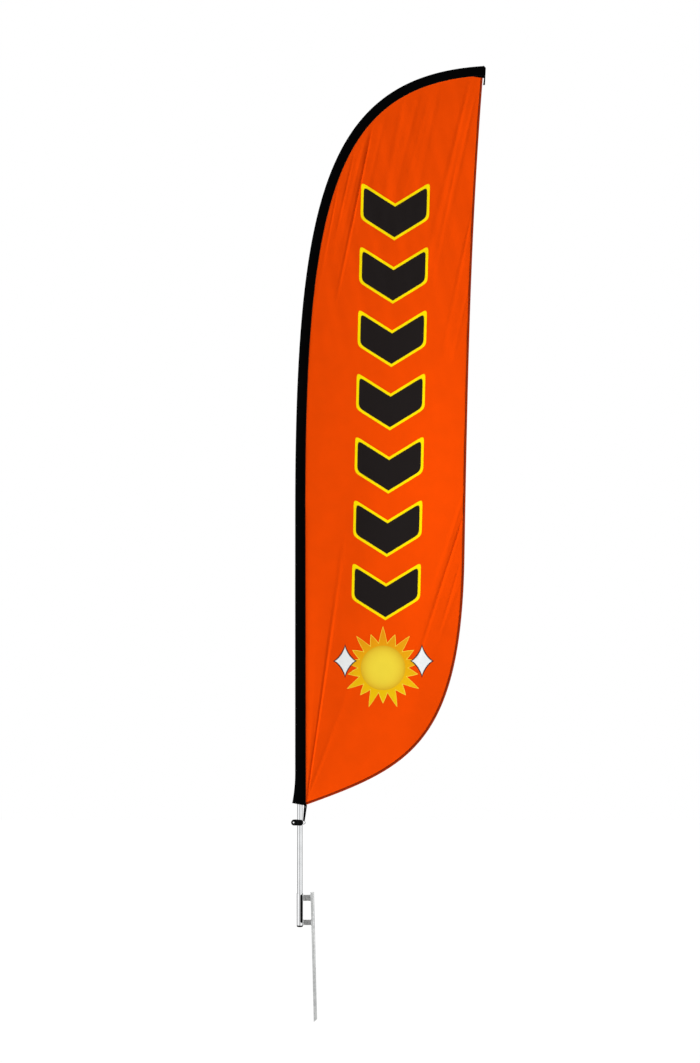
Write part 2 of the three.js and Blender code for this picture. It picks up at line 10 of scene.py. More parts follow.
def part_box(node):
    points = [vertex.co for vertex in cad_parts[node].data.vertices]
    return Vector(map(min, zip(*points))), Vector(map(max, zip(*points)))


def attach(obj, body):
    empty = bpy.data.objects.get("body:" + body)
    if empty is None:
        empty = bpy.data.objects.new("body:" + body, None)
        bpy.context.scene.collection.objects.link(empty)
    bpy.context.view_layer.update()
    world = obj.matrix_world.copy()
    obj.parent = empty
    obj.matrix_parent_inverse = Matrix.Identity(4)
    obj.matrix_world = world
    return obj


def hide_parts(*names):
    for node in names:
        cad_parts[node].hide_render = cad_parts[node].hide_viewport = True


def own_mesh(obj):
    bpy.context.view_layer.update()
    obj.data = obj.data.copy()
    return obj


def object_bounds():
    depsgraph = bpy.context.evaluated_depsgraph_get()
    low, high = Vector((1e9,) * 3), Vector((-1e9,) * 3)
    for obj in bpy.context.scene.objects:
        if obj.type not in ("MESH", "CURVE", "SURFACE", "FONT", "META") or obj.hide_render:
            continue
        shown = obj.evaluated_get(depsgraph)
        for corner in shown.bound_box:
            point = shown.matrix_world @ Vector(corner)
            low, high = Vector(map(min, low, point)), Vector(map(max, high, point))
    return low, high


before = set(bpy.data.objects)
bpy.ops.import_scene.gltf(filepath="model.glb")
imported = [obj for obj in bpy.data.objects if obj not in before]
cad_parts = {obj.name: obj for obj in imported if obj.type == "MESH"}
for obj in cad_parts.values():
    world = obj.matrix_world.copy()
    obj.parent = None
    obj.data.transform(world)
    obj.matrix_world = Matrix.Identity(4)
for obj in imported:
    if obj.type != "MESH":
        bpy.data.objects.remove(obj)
cad_low, cad_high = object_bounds()


# ---- Camera ----
# It stands level with the middle of the flag, square to the printed face and far
# enough away for the pole and the spike to be seen without perspective.

camera_target = Vector((0.175, 0.0, 1.877))
camera_distance = 20.0
camera_height_seen = 5.045

camera_data = bpy.data.cameras.new("camera")
camera_data.sensor_width = 36.0
camera_data.lens = camera_data.sensor_width * camera_distance / camera_height_seen
camera_data.clip_end = 200.0
camera = bpy.data.objects.new("camera", camera_data)
camera.location = camera_target + Vector((0.0, -camera_distance, 0.0))
camera.rotation_euler = (math.radians(90.0), 0.0, 0.0)
bpy.context.collection.objects.link(camera)
bpy.context.scene.camera = camera


# ---- Studio ----
# A white paper floor in a white room with large soft lights. The room is darker to both
# sides, which draws the lines seen in polished tube.

floor_drop = 0.004  # below the spike's tip
floor_front = -4.0
floor_back = 14.0
floor_side = 3.5
room_light = 0.52
paper_light = 0.55
# How bright the walls mirror, from straight ahead (0) round to straight behind (1).
wall_tones = [(0.0, 0.10), (0.05, 0.15), (0.09, 1.0), (0.54, 1.0), (0.6, 0.05), (0.82, 0.03),
              (0.88, 0.9), (1.0, 0.9)]


def feed(tree, socket, value):
    """Links an output to a socket, or sets the socket to a plain value."""
    if isinstance(value, bpy.types.NodeSocket):
        tree.links.new(value, socket)
    else:
        socket.default_value = value


def calc(tree, operation, first, second=0.0, third=0.0):
    """Adds a Math node fed by numbers or sockets and returns its output."""
    node = tree.nodes.new("ShaderNodeMath")
    node.operation = operation
    for socket, value in zip(node.inputs, (first, second, third)):
        feed(tree, socket, value)
    return node.outputs["Value"]


def set_bands(bands, stops):
    """Gives a colour ramp its (place, colour) stops."""
    while len(bands.elements) < len(stops):
        bands.elements.new(0.5)
    for element, (place, band_color) in zip(bands.elements, stops):
        element.position = place
        element.color = band_color


def new_material(name, color, roughness, metallic=0.0, specular=0.5):
    """A material with one Principled shader, returned with its node tree and that shader."""
    material = bpy.data.materials.new(name)
    material.use_nodes = True
    shader = material.node_tree.nodes["Principled BSDF"]
    shader.inputs["Base Color"].default_value = (*color[:3], 1.0)
    shader.inputs["Roughness"].default_value = roughness
    shader.inputs["Metallic"].default_value = metallic
    shader.inputs["Specular IOR Level"].default_value = specular
    return material, material.node_tree, shader


def new_object(name, bm, *materials):
    """Puts a finished bmesh into the scene as an object at the origin."""
    mesh = bpy.data.meshes.new(name)
    bm.to_mesh(mesh)
    bm.free()
    for material in materials:
        mesh.materials.append(material)
    made = bpy.data.objects.new(name, mesh)
    bpy.context.collection.objects.link(made)
    return made


def make_paper():
    """White paper that looks evenly lit to the camera and gives the room a softer glow."""
    material, tree, shader = new_material("studio_paper", (0.02, 0.02, 0.02), 1.0, specular=0.0)
    shader.inputs["Emission Color"].default_value = (1.0, 1.0, 1.0, 1.0)
    seen = tree.nodes.new("ShaderNodeLightPath").outputs["Is Camera Ray"]
    glow = calc(tree, "MULTIPLY_ADD", seen, 1.0 - paper_light, paper_light)
    tree.links.new(glow, shader.inputs["Emission Strength"])
    return material


def make_floor():
    bm = bmesh.new()
    bmesh.ops.create_grid(bm, x_segments=1, y_segments=1, size=0.5)
    bmesh.ops.scale(bm, verts=bm.verts, vec=(2.0 * floor_side, floor_back - floor_front, 1.0))
    bmesh.ops.translate(bm, verts=bm.verts, vec=(0.0, (floor_back + floor_front) / 2,
                                                 cad_low.z - floor_drop))
    new_object("studio_floor", bm, make_paper())


make_floor()


def add_soft_light(name, place, size, power, aim):
    data = bpy.data.lights.new(name, "AREA")
    data.shape = "RECTANGLE"
    data.size, data.size_y = size
    data.energy = power
    light = bpy.data.objects.new(name, data)
    light.location = place
    light.rotation_mode = "QUATERNION"
    light.rotation_quaternion = (Vector(aim) - Vector(place)).to_track_quat("-Z", "Y")
    light.visible_glossy = False
    bpy.context.collection.objects.link(light)


add_soft_light("key_light", place=(-5.0, -2.9, 1.1), size=(2.2, 5.5), power=470.0,
               aim=(0.3, 0.0, 1.2))
add_soft_light("fill_light", place=(5.0, -7.0, 0.8), size=(3.0, 5.0), power=65.0,
               aim=(0.3, 0.0, 1.2))
add_soft_light("back_light", place=(-2.0, 7.0, 4.0), size=(4.0, 4.0), power=180.0,
               aim=(0.3, 0.0, 1.8))


def make_room():
    """A room that is white to the eye. Its walls mirror as dark straight ahead of the flag and
    a little behind it to both sides, and as white elsewhere."""
    world = bpy.data.worlds.new("white_room")
    world.use_nodes = True
    tree = world.node_tree
    place = tree.nodes.new("ShaderNodeTexCoord").outputs["Generated"]
    split = tree.nodes.new("ShaderNodeSeparateXYZ")
    tree.links.new(place, split.inputs["Vector"])
    side = calc(tree, "ABSOLUTE", split.outputs["X"])
    front = calc(tree, "MULTIPLY", split.outputs["Y"], -1.0)
    heading = calc(tree, "DIVIDE", calc(tree, "ARCTAN2", side, front), math.pi)
    walls = tree.nodes.new("ShaderNodeValToRGB")
    tree.links.new(heading, walls.inputs["Fac"])
    set_bands(walls.color_ramp, [(turn, (shade, shade, shade, 1.0)) for turn, shade in wall_tones])
    rays = tree.nodes.new("ShaderNodeLightPath").outputs
    shine = calc(tree, "MULTIPLY", walls.outputs["Color"], rays["Is Glossy Ray"])
    matt = calc(tree, "MULTIPLY_ADD", rays["Is Glossy Ray"], -room_light, room_light)
    bright = calc(tree, "ADD", shine, matt)
    background = tree.nodes["Background"]
    background.inputs["Color"].default_value = (1.0, 1.0, 1.0, 1.0)
    tree.links.new(calc(tree, "MAXIMUM", bright, rays["Is Camera Ray"]),
                   background.inputs["Strength"])
    bpy.context.scene.world = world


make_room()
bpy.context.scene.view_settings.view_transform = "Standard"


# ---- Ground stake: spike and crossbars ----
# A length of 16 mm round bar, its foot sheared to a point and its head spread a little by
# the mallet. Two flat bars are welded across to the receiver, and all of it is zinc-plated.

spike_radius = 0.008
spike_lean = math.radians(1.4)
spike_head = 0.166
spike_foot = -0.450
spike_cut = math.radians(40.0)
mallet_spread = 0.0002
round_steps = 64
metal_lines = 900.0
metal_line_stretch = (1.0, 1.0, 0.02)
metal_bump = 0.3
dulled_from, dulled_to = 0.38, 0.66  # where in the cloudy noise the metal goes dull


def new_group(name, inputs, **outputs):
    """A node group with (name, default) inputs, each output given as name="Color" or "Float".
    Returns the group, the sockets that its inputs come in on and those that it puts out."""
    group = bpy.data.node_groups.new(name, "ShaderNodeTree")
    for label, default in inputs:
        kind = "NodeSocketColor" if isinstance(default, tuple) else "NodeSocketFloat"
        socket = group.interface.new_socket(label, in_out="INPUT", socket_type=kind)
        socket.default_value = default
    for label, kind in outputs.items():
        group.interface.new_socket(label, in_out="OUTPUT", socket_type="NodeSocket" + kind)
    given, made = group.nodes.new("NodeGroupInput"), group.nodes.new("NodeGroupOutput")
    return group, given.outputs, made.inputs


def on_object(tree):
    return tree.nodes.new("ShaderNodeTexCoord").outputs["Object"]


def noise(tree, scale, detail=2.0, roughness=0.5, stretch=(1.0, 1.0, 1.0)):
    """Cloudy noise that is fixed to the piece."""
    spread = tree.nodes.new("ShaderNodeMapping")
    spread.inputs["Scale"].default_value = stretch
    tree.links.new(on_object(tree), spread.inputs["Vector"])
    node = tree.nodes.new("ShaderNodeTexNoise")
    tree.links.new(spread.outputs["Vector"], node.inputs["Vector"])
    feed(tree, node.inputs["Scale"], scale)
    node.inputs["Detail"].default_value = detail
    node.inputs["Roughness"].default_value = roughness
    return node.outputs["Fac"]


def remap(tree, value, low, high, to_low=0.0, to_high=1.0):
    """Carries a value from one range to another and stops it at the ends."""
    node = tree.nodes.new("ShaderNodeMapRange")
    for socket, given in zip(node.inputs, (value, low, high, to_low, to_high)):
        feed(tree, socket, given)
    return node.outputs["Result"]


def paint(tree, under, mask, over):
    """Lays one colour over another through a mask."""
    mix = tree.nodes.new("ShaderNodeMix")
    mix.data_type = "RGBA"
    for label, value in (("Factor", mask), ("A", under), ("B", over)):
        feed(tree, mix.inputs[label], value)
    return mix.outputs["Result"]


def add_bump(tree, shader, height, strength, distance):
    """Gives a surface fine relief."""
    bump = tree.nodes.new("ShaderNodeBump")
    bump.inputs["Strength"].default_value = strength
    bump.inputs["Distance"].default_value = distance
    tree.links.new(height, bump.inputs["Height"])
    tree.links.new(bump.outputs["Normal"], shader.inputs["Normal"])


def make_metal_skin():
    """Cloudy dulling and fine drawn lines along Z, for plated and drawn metal."""
    group, given, made = new_group(
        "metal_skin", [("Bright", (0.8, 0.8, 0.8, 1.0)), ("Dull", (0.5, 0.5, 0.5, 1.0)),
                       ("Cloud", 60.0), ("Smooth", 0.2), ("Rough", 0.4)],
        Color="Color", Roughness="Float", Height="Float")
    cloud = noise(group, given["Cloud"], detail=5.0, roughness=0.6)
    lines = noise(group, metal_lines, stretch=metal_line_stretch)
    dulled = remap(group, cloud, dulled_from, dulled_to)
    link = group.links.new
    link(paint(group, given["Bright"], dulled, given["Dull"]), made["Color"])
    link(remap(group, dulled, 0.0, 1.0, given["Smooth"], given["Rough"]), made["Roughness"])
    link(calc(group, "ADD", cloud, lines), made["Height"])
    return group


metal_skin = make_metal_skin()


def metal(name, bright, dull, smooth, rough, cloud, relief):
    """Bare metal between a bright, smooth tone and a dull, rough one."""
    material, tree, shader = new_material(name, bright, smooth, metallic=1.0)
    skin = tree.nodes.new("ShaderNodeGroup")
    skin.node_tree = metal_skin
    for label, value in (("Bright", (*bright, 1.0)), ("Dull", (*dull, 1.0)),
                         ("Smooth", smooth), ("Rough", rough), ("Cloud", cloud)):
        skin.inputs[label].default_value = value
    tree.links.new(skin.outputs["Color"], shader.inputs["Base Color"])
    tree.links.new(skin.outputs["Roughness"], shader.inputs["Roughness"])
    add_bump(tree, shader, skin.outputs["Height"], metal_bump, relief)
    return material


zinc = metal("zinc_plate", bright=(0.94, 0.95, 0.94), dull=(0.70, 0.71, 0.71),
             smooth=0.08, rough=0.20, cloud=60.0, relief=0.00006)
rough_zinc = metal("rough_zinc", bright=(0.62, 0.62, 0.61), dull=(0.20, 0.20, 0.20),
                   smooth=0.3, rough=0.6, cloud=170.0, relief=0.0012)


def turned(profile, centre_x=0.0, steps=round_steps):
    """A closed bmesh turned about a vertical axis from a list of (radius, height) points."""
    bm = bmesh.new()
    verts = [bm.verts.new((centre_x + radius, 0.0, height)) for radius, height in profile]
    edges = [bm.edges.new(pair) for pair in zip(verts, verts[1:])]
    if profile[0][0] > 0.0 and profile[-1][0] > 0.0:
        edges.append(bm.edges.new((verts[-1], verts[0])))
    bmesh.ops.spin(bm, geom=verts + edges, cent=(centre_x, 0.0, 0.0), axis=(0.0, 0.0, 1.0),
                   angle=2.0 * math.pi, steps=steps, use_merge=True, use_duplicate=False)
    bmesh.ops.remove_doubles(bm, verts=bm.verts, dist=1e-7)
    bmesh.ops.recalc_face_normals(bm, faces=bm.faces)
    return bm


def rounded(radius, height, corner, steps=4):
    """The points of a round corner where a wall of that radius meets a level top."""
    points = []
    for i in range(steps + 1):
        turn = 0.5 * math.pi * i / steps
        points.append((radius - corner + corner * math.cos(turn),
                       height - corner + corner * math.sin(turn)))
    return points


def fit_piece(piece, body, slot, *nodes, sharp=35.0):
    """Smooths a piece, puts it on its body and lets it stand for its CAD nodes."""
    piece.data.shade_smooth()
    piece.data.set_sharp_from_angle(angle=math.radians(sharp))
    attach(piece, body)
    if nodes:
        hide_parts(*nodes)
    return piece


def make_spike():
    profile = [(0.0, spike_foot), (spike_radius, spike_foot), (spike_radius, -0.02),
               (spike_radius, spike_head - 0.006),
               (spike_radius + mallet_spread, spike_head - 0.003)]
    profile += rounded(spike_radius, spike_head, corner=0.0012)
    profile += [(0.0, spike_head)]
    bm = turned(profile)
    bmesh.ops.rotate(bm, verts=bm.verts, cent=(0.0, 0.0, 0.0),
                     matrix=Matrix.Rotation(-spike_lean, 3, "Y"))
    foot_x = -math.sin(spike_lean) * spike_foot
    corner = Vector((foot_x - spike_radius, 0.0, spike_foot))
    normal = Vector((math.sin(spike_cut), 0.0, -math.cos(spike_cut)))
    bmesh.ops.bisect_plane(bm, geom=bm.verts[:] + bm.edges[:] + bm.faces[:], plane_co=corner,
                           plane_no=normal, clear_outer=True)
    bmesh.ops.edgeloop_fill(bm, edges=[edge for edge in bm.edges if edge.is_boundary])
    bmesh.ops.recalc_face_normals(bm, faces=bm.faces)
    fit_piece(new_object("spike", bm, zinc), "ground_stake", "zinc_steel", "spike_rod")


make_spike()


def soften(piece, width, segments=3):
    """Rounds a hard piece's sharp edges with a live bevel."""
    bevel = piece.modifiers.new("soft_edges", "BEVEL")
    bevel.width = width
    bevel.segments = segments
    bevel.limit_method = "ANGLE"
    bevel.angle_limit = math.radians(40.0)
    bevel.harden_normals = False


def make_crossbar(node, name):
    """A flat bar with a rough plated skin, its ends under the weld beads."""
    low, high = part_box(node)
    bm = bmesh.new()
    bmesh.ops.create_cube(bm, size=1.0)
    bmesh.ops.scale(bm, vec=high - low, verts=bm.verts)
    bmesh.ops.translate(bm, vec=(high + low) / 2, verts=bm.verts)
    bar = new_object(name, bm, rough_zinc)
    soften(bar, 0.0014)
    fit_piece(bar, "ground_stake", "zinc_steel", node)


make_crossbar("upper_crossbar", "upper_bar")
make_crossbar("lower_crossbar", "lower_bar")


# ---- Receiver ----
# A bright tube welded beside the spike, slotted along one side and closed by a moulded cap.
# The black liner that the pole turns in shows through the slot.

slot_width = 0.013
slot_margin = 0.004
slot_angle = math.radians(36.0)
slot_arc_steps = 16
receiver_steps = 96
fit_gap = 0.0003
cap_corner = 0.006
liner_lip = 0.0002
plastic_shine = 0.05
plastic_unevenness = 0.12

chrome = metal("bright_plate", bright=(0.95, 0.95, 0.96), dull=(0.88, 0.89, 0.90),
               smooth=0.04, rough=0.08, cloud=30.0, relief=0.00001)


def tube_radius(node):
    """The radius of a CAD tube or rod that stands upright."""
    low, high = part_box(node)
    return (high.x - low.x) / 2


receiver_low, receiver_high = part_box("receiver_tube")
liner_low, liner_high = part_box("swivel_liner")
cap_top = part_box("receiver_cap")[1].z
receiver_radius = tube_radius("receiver_tube")
liner_radius = tube_radius("swivel_liner")
pole_radius = tube_radius("lower_pole")
pole_low, pole_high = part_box("lower_pole")
pole_x = (pole_low.x + pole_high.x) / 2


def moulded(name, color, roughness, grain=900.0):
    """A black moulded plastic with a fine spark-eroded grain."""
    material, tree, shader = new_material(name, color, roughness, specular=plastic_shine)
    speckle = noise(tree, grain, detail=3.0)
    uneven = remap(tree, speckle, 0.0, 1.0, roughness - plastic_unevenness,
                   roughness + plastic_unevenness)
    tree.links.new(uneven, shader.inputs["Roughness"])
    add_bump(tree, shader, speckle, 0.25, 0.0002)
    return material


nylon = moulded("black_nylon", (0.004, 0.004, 0.0045), 0.42)


def plate(outline, front, back):
    """A closed bmesh of an outline of (x, z) points, pushed from its front to its back."""
    bm = bmesh.new()
    face = bm.faces.new([bm.verts.new((x, front, z)) for x, z in outline])
    pushed = bmesh.ops.extrude_face_region(bm, geom=[face])["geom"]
    bmesh.ops.translate(bm, vec=(0.0, back - front, 0.0),
                        verts=[item for item in pushed if isinstance(item, bmesh.types.BMVert)])
    bmesh.ops.recalc_face_normals(bm, faces=bm.faces)
    return bm


def cut_out(piece, tool):
    """Cuts a piece with another one, which is used up."""
    step = piece.modifiers.new("cut", "BOOLEAN")
    step.operation = "DIFFERENCE"
    step.solver = "EXACT"
    step.object = tool
    bpy.context.view_layer.update()
    shape = piece.evaluated_get(bpy.context.evaluated_depsgraph_get())
    result = bpy.data.meshes.new_from_object(shape)
    piece.modifiers.clear()
    piece.data = result
    bpy.data.objects.remove(tool)


def make_receiver():
    inner = liner_radius + fit_gap
    wall = turned([(receiver_radius, receiver_low.z), (receiver_radius, receiver_high.z),
                   (inner, receiver_high.z), (inner, receiver_low.z)], pole_x, receiver_steps)
    tube = new_object("receiver", wall, chrome)
    half_slot = slot_width / 2
    slot_foot = cap_top + slot_margin + half_slot
    slot_head = receiver_high.z - slot_margin - half_slot
    outline = []
    for middle, start in ((slot_head, 0.0), (slot_foot, math.pi)):
        for i in range(slot_arc_steps + 1):
            turn = start + math.pi * i / slot_arc_steps
            outline.append((half_slot * math.cos(turn), middle + half_slot * math.sin(turn)))
    cutter = plate(outline, -2.0 * receiver_radius, 0.0)
    bmesh.ops.rotate(cutter, verts=cutter.verts, cent=(0.0, 0.0, 0.0),
                     matrix=Matrix.Rotation(slot_angle, 3, "Z"))
    bmesh.ops.translate(cutter, verts=cutter.verts, vec=(pole_x, 0.0, 0.0))
    cut_out(tube, new_object("slot_cutter", cutter))
    soften(tube, 0.0003, 2)
    fit_piece(tube, "ground_stake", "zinc_steel", "receiver_tube")


def make_receiver_cap():
    shell = receiver_low.z - fit_gap
    dome = rounded(receiver_radius, 2.0 * cap_corner, cap_corner, 8)
    profile = [(0.0, 0.0)] + [(r, 2.0 * cap_corner - z) for r, z in reversed(dome)]
    profile += [(receiver_radius, shell), (liner_radius, shell), (liner_radius, cap_top),
                (0.0, cap_top)]
    fit_piece(new_object("receiver_end_cap", turned(profile, pole_x), nylon),
              "ground_stake", "black_nylon", "receiver_cap")


def make_liner():
    inner = pole_radius + fit_gap
    profile = [(liner_radius, liner_low.z), (liner_radius, liner_high.z - liner_lip),
               (liner_radius - liner_lip, liner_high.z), (inner, liner_high.z),
               (inner, liner_low.z)]
    fit_piece(new_object("liner", turned(profile, pole_x), nylon),
              "swivel_bush", "black_nylon", "swivel_liner")


make_receiver()
make_receiver_cap()
make_liner()


# ---- Weld beads ----
# Each crossbar is joined to the spike and to the receiver by a rippled bead all round its
# end, laid by hand in short overlapping drops of steel and plated with the rest.

bead_radius = 0.0026
bead_ripples = 22
bead_inset = 0.001
bead_stand_off = 0.0006
bead_squareness = 1.35
drop_squeeze = (0.85, 1.15)
drop_depth = 0.9


def make_bead(name, low, high, side_x, lean):
    """A ring of overlapping drops round the end of a bar, at side_x."""
    bm = bmesh.new()
    middle = (low + high) / 2
    half_height = (high.z - low.z) / 2 - bead_inset
    half_width = (high.y - low.y) / 2
    for i in range(bead_ripples):
        turn = 2.0 * math.pi * i / bead_ripples
        height = half_height * max(-1.0, min(1.0, bead_squareness * math.sin(turn)))
        width = half_width * max(-1.0, min(1.0, bead_squareness * math.cos(turn)))
        centre = Vector((side_x - math.tan(lean) * (middle.z + height), width,
                         middle.z + height))
        drop = bmesh.ops.create_icosphere(bm, subdivisions=2, radius=bead_radius,
                                          matrix=Matrix.Translation(centre))
        squeeze = drop_squeeze[0] + (drop_squeeze[1] - drop_squeeze[0]) * random.random()
        bmesh.ops.scale(bm, vec=(squeeze, drop_depth, squeeze), verts=drop["verts"],
                        space=Matrix.Translation(-centre))
    fit_piece(new_object(name, bm, zinc), "ground_stake", "zinc_steel", sharp=80.0)


random.seed(11)
for bar_name in ("upper", "lower"):
    bar_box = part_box(f"{bar_name}_crossbar")
    make_bead(f"{bar_name}_receiver_weld", *bar_box,
              pole_x + receiver_radius + bead_stand_off, 0.0)
    make_bead(f"{bar_name}_spike_weld", *bar_box, -spike_radius - bead_stand_off, spike_lean)


# ---- Pole ----
# The lower section is a drawn and polished aluminium tube with a moulded foot plug. Inside
# the sleeve it takes a thinner tube, and that one takes a whip of two fibreglass rods.

tube_wall = 0.0013
tube_lip = 0.0003
resin_pale = (0.66, 0.63, 0.54, 1.0)
resin_dark = (0.45, 0.42, 0.33, 1.0)

polished_tube = metal("polished_aluminium", bright=(0.92, 0.93, 0.94), dull=(0.84, 0.85, 0.86),
                      smooth=0.07, rough=0.13, cloud=20.0, relief=0.00002)


def make_lower_pole():
    inner = pole_radius - tube_wall
    rim = pole_radius - tube_lip
    profile = [(pole_radius, pole_low.z + tube_lip), (pole_radius, pole_high.z - tube_lip),
               (rim, pole_high.z), (inner, pole_high.z), (inner, pole_low.z),
               (rim, pole_low.z)]
    fit_piece(new_object("pole_tube", turned(profile, pole_x), polished_tube),
              "bottom_section", "tube_aluminium", "lower_pole")


make_lower_pole()


def make_glass_rod():
    """Ground fibreglass: an off-white resin with a fine cloudy mottle."""
    material, tree, shader = new_material("fibreglass", (0.6, 0.57, 0.48), 0.5)
    tint = paint(tree, resin_pale, noise(tree, 400.0), resin_dark)
    tree.links.new(tint, shader.inputs["Base Color"])
    return material


def repaint(material, *nodes):
    """Gives carried-over CAD pieces their finished material."""
    for node in nodes:
        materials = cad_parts[node].data.materials
        materials.clear()
        materials.append(material)


repaint(make_glass_rod(), "whip_base", "whip_tip")
repaint(polished_tube, "middle_pole", "whip_ferrule")
repaint(nylon, "pole_foot_plug", "pole_collar", "whip_bush", "tip_cap")


# ---- Pole sleeve ----
# A pocket of black stretch cloth sewn down the leading side of the flag. It lies close to
# the pole in front and behind, narrows to its seam, and flares a little at its open foot.

# The line it follows: the pole is straight up to the top of its middle section and then
# runs through one long bend to the tip. Lengths along it start at the ground.
bend_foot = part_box("middle_pole")[1].z
bend_height = 2.100
bend_reach = 0.846
bend_foot_pull = 1.484
bend_tip_pull = 0.710
tip_rise = math.radians(4.5)
straight_tip = 0.020
tip_cap_end = 0.006
line_samples = 1500

sleeve_wall = 0.0012
sleeve_start = 0.582
sleeve_slant = 0.18
sleeve_ease = 0.001
leading_width = 0.0225
trailing_width_foot = 0.028
trailing_width_tip = 0.0225
flare = 0.015
flare_height = 0.150
sleeve_blend = 0.060
sleeve_around = 40
sleeve_rows = 420
binding_tuck = 0.0025
seam_cover = 0.0010
seam_pinch = 0.55
whip_sleeve_radius = 0.008
tip_cap_radius = 0.005
sleeve_ripples = ((0.0007, 41.0, 0.0), (0.0005, 97.0, 1.0))  # depth, waves and start of each
ripple_lobes = 3.0
ripple_twist = 6.0
sleeve_black = (0.0012, 0.0012, 0.0013, 1.0)
wave_pitch = 0.31416  # metres between a wave texture's bands at a scale of 1
knit_wander = 0.4
dye_cloud = 9.0
dye_even, dye_thin = 0.3, 0.7
knit_relief = 0.0003


def cubic(points, share):
    """A point of the cubic curve that four points draw."""
    rest = 1.0 - share
    return (points[0] * rest ** 3 + points[1] * 3 * rest ** 2 * share
            + points[2] * 3 * rest * share ** 2 + points[3] * share ** 3)


class SmoothLine:
    """A line of cubic curves that is read by its length."""

    def __init__(self, *curves):
        self.points = [curves[0][0]]
        for curve in curves:
            self.points += [cubic(curve, (i + 1) / line_samples)
                            for i in range(line_samples)]
        self.lengths = [0.0]
        for first, second in zip(self.points, self.points[1:]):
            self.lengths.append(self.lengths[-1] + (second - first).length)
        self.length = self.lengths[-1]

    def at(self, length):
        """The point at that length, and the direction of the line there."""
        i = min(max(bisect_right(self.lengths, length) - 1, 0), len(self.points) - 2)
        first, second = self.points[i], self.points[i + 1]
        direction = (second - first).normalized()
        return first + direction * (length - self.lengths[i]), direction


bend_start = Vector((pole_x, 0.0, bend_foot))
bend_tip = bend_start + Vector((bend_reach, 0.0, bend_height))
tip_direction = Vector((math.cos(tip_rise), 0.0, math.sin(tip_rise)))
bend = SmoothLine((bend_start, bend_start + Vector((0.0, 0.0, bend_foot_pull)),
                   bend_tip - tip_direction * bend_tip_pull, bend_tip))
bend_end = bend_foot + bend.length
sleeve_end = bend_end + straight_tip + tip_cap_end + fit_gap + sleeve_wall


def pole_at(length):
    """A place on the pole's line, and the direction across it to the flag's side."""
    if length <= bend_foot:
        return Vector((pole_x, 0.0, length)), Vector((1.0, 0.0, 0.0))
    centre, direction = bend.at(length - bend_foot)
    return centre, Vector((direction.z, 0.0, -direction.x))


def waves(tree, direction, scale, wander=0.0):
    """Bands of light and dark that are fixed to the piece."""
    node = tree.nodes.new("ShaderNodeTexWave")
    node.bands_direction = direction
    tree.links.new(on_object(tree), node.inputs["Vector"])
    feed(tree, node.inputs["Scale"], scale)
    node.inputs["Distortion"].default_value = wander
    return node.outputs["Fac"]


def make_knit():
    """A knit seen close: ribs one way, courses the other and a little uneven dye."""
    group, given, made = new_group("knit", [("Pitch", 0.0014), ("Uneven", 0.04)],
                                   Shade="Float", Height="Float")
    fineness = calc(group, "DIVIDE", wave_pitch, given["Pitch"])
    weave = calc(group, "MULTIPLY", waves(group, "X", fineness, knit_wander),
                 waves(group, "Z", fineness, knit_wander))
    cloud = noise(group, dye_cloud, detail=4.0)
    palest = calc(group, "SUBTRACT", 1.0, given["Uneven"])
    shade = remap(group, cloud, dye_even, dye_thin, palest, 1.0)
    group.links.new(shade, made["Shade"])
    group.links.new(weave, made["Height"])
    return group


knit = make_knit()


def add_knit(tree, shader, color, pitch, uneven, strength):
    """Shades a colour with the knit and gives the surface its relief."""
    skin = tree.nodes.new("ShaderNodeGroup")
    skin.node_tree = knit
    skin.inputs["Pitch"].default_value = pitch
    skin.inputs["Uneven"].default_value = uneven
    shade = tree.nodes.new("ShaderNodeMix")
    shade.data_type = "RGBA"
    shade.blend_type = "MULTIPLY"
    shade.inputs["Factor"].default_value = 1.0
    feed(tree, shade.inputs["A"], color)
    tree.links.new(skin.outputs["Shade"], shade.inputs["B"])
    tree.links.new(shade.outputs["Result"], shader.inputs["Base Color"])
    add_bump(tree, shader, skin.outputs["Height"], strength, knit_relief)


def cloth(name, color, roughness, specular, pitch, uneven, strength):
    """A knitted or woven cloth of one colour."""
    material, tree, shader = new_material(name, color, roughness, specular=specular)
    add_knit(tree, shader, color, pitch, uneven, strength)
    return material


sleeve_cloth = cloth("sleeve_cloth", sleeve_black, roughness=0.8, specular=0.015,
                     pitch=0.0016, uneven=0.4, strength=0.5)


def between(value, from_low, from_high, to_low, to_high):
    """Carries a value from one range to another and stops it at the ends."""
    share = min(max((value - from_low) / (from_high - from_low), 0.0), 1.0)
    return to_low + (to_high - to_low) * share


collar_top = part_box("pole_collar")[1].z
middle_radius = tube_radius("middle_pole")
bush_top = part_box("whip_bush")[1].z


def core_radius(length):
    """The radius of what lies inside the sleeve."""
    if length < bend_foot:
        return between(length, collar_top, collar_top + sleeve_blend, pole_radius,
                       middle_radius)
    thin = between(length, bend_foot, sleeve_end, whip_sleeve_radius, tip_cap_radius)
    step = between(length, bush_top, bush_top + sleeve_blend, middle_radius, 0.0)
    return max(step, thin)


def leading_edge(length):
    low = between(length, sleeve_start, sleeve_start + flare_height, 1.0, 0.0)
    return leading_width + flare * low * low


def trailing_edge(length):
    return between(length, sleeve_start, sleeve_end, trailing_width_foot, trailing_width_tip)


def loft(name, rings, material):
    """A skin through rings of equally many points, closed round each ring and at its end."""
    bm = bmesh.new()
    made = []
    for ring in rings:
        verts = [bm.verts.new(point) for point in ring]
        made.append([bm.edges.new((verts[i - 1], verts[i])) for i in range(len(verts))])
    for first, second in zip(made, made[1:]):
        bmesh.ops.bridge_loops(bm, edges=first + second)
    bmesh.ops.edgeloop_fill(bm, edges=made[-1])
    bmesh.ops.recalc_face_normals(bm, faces=bm.faces)
    return new_object(name, bm, material)


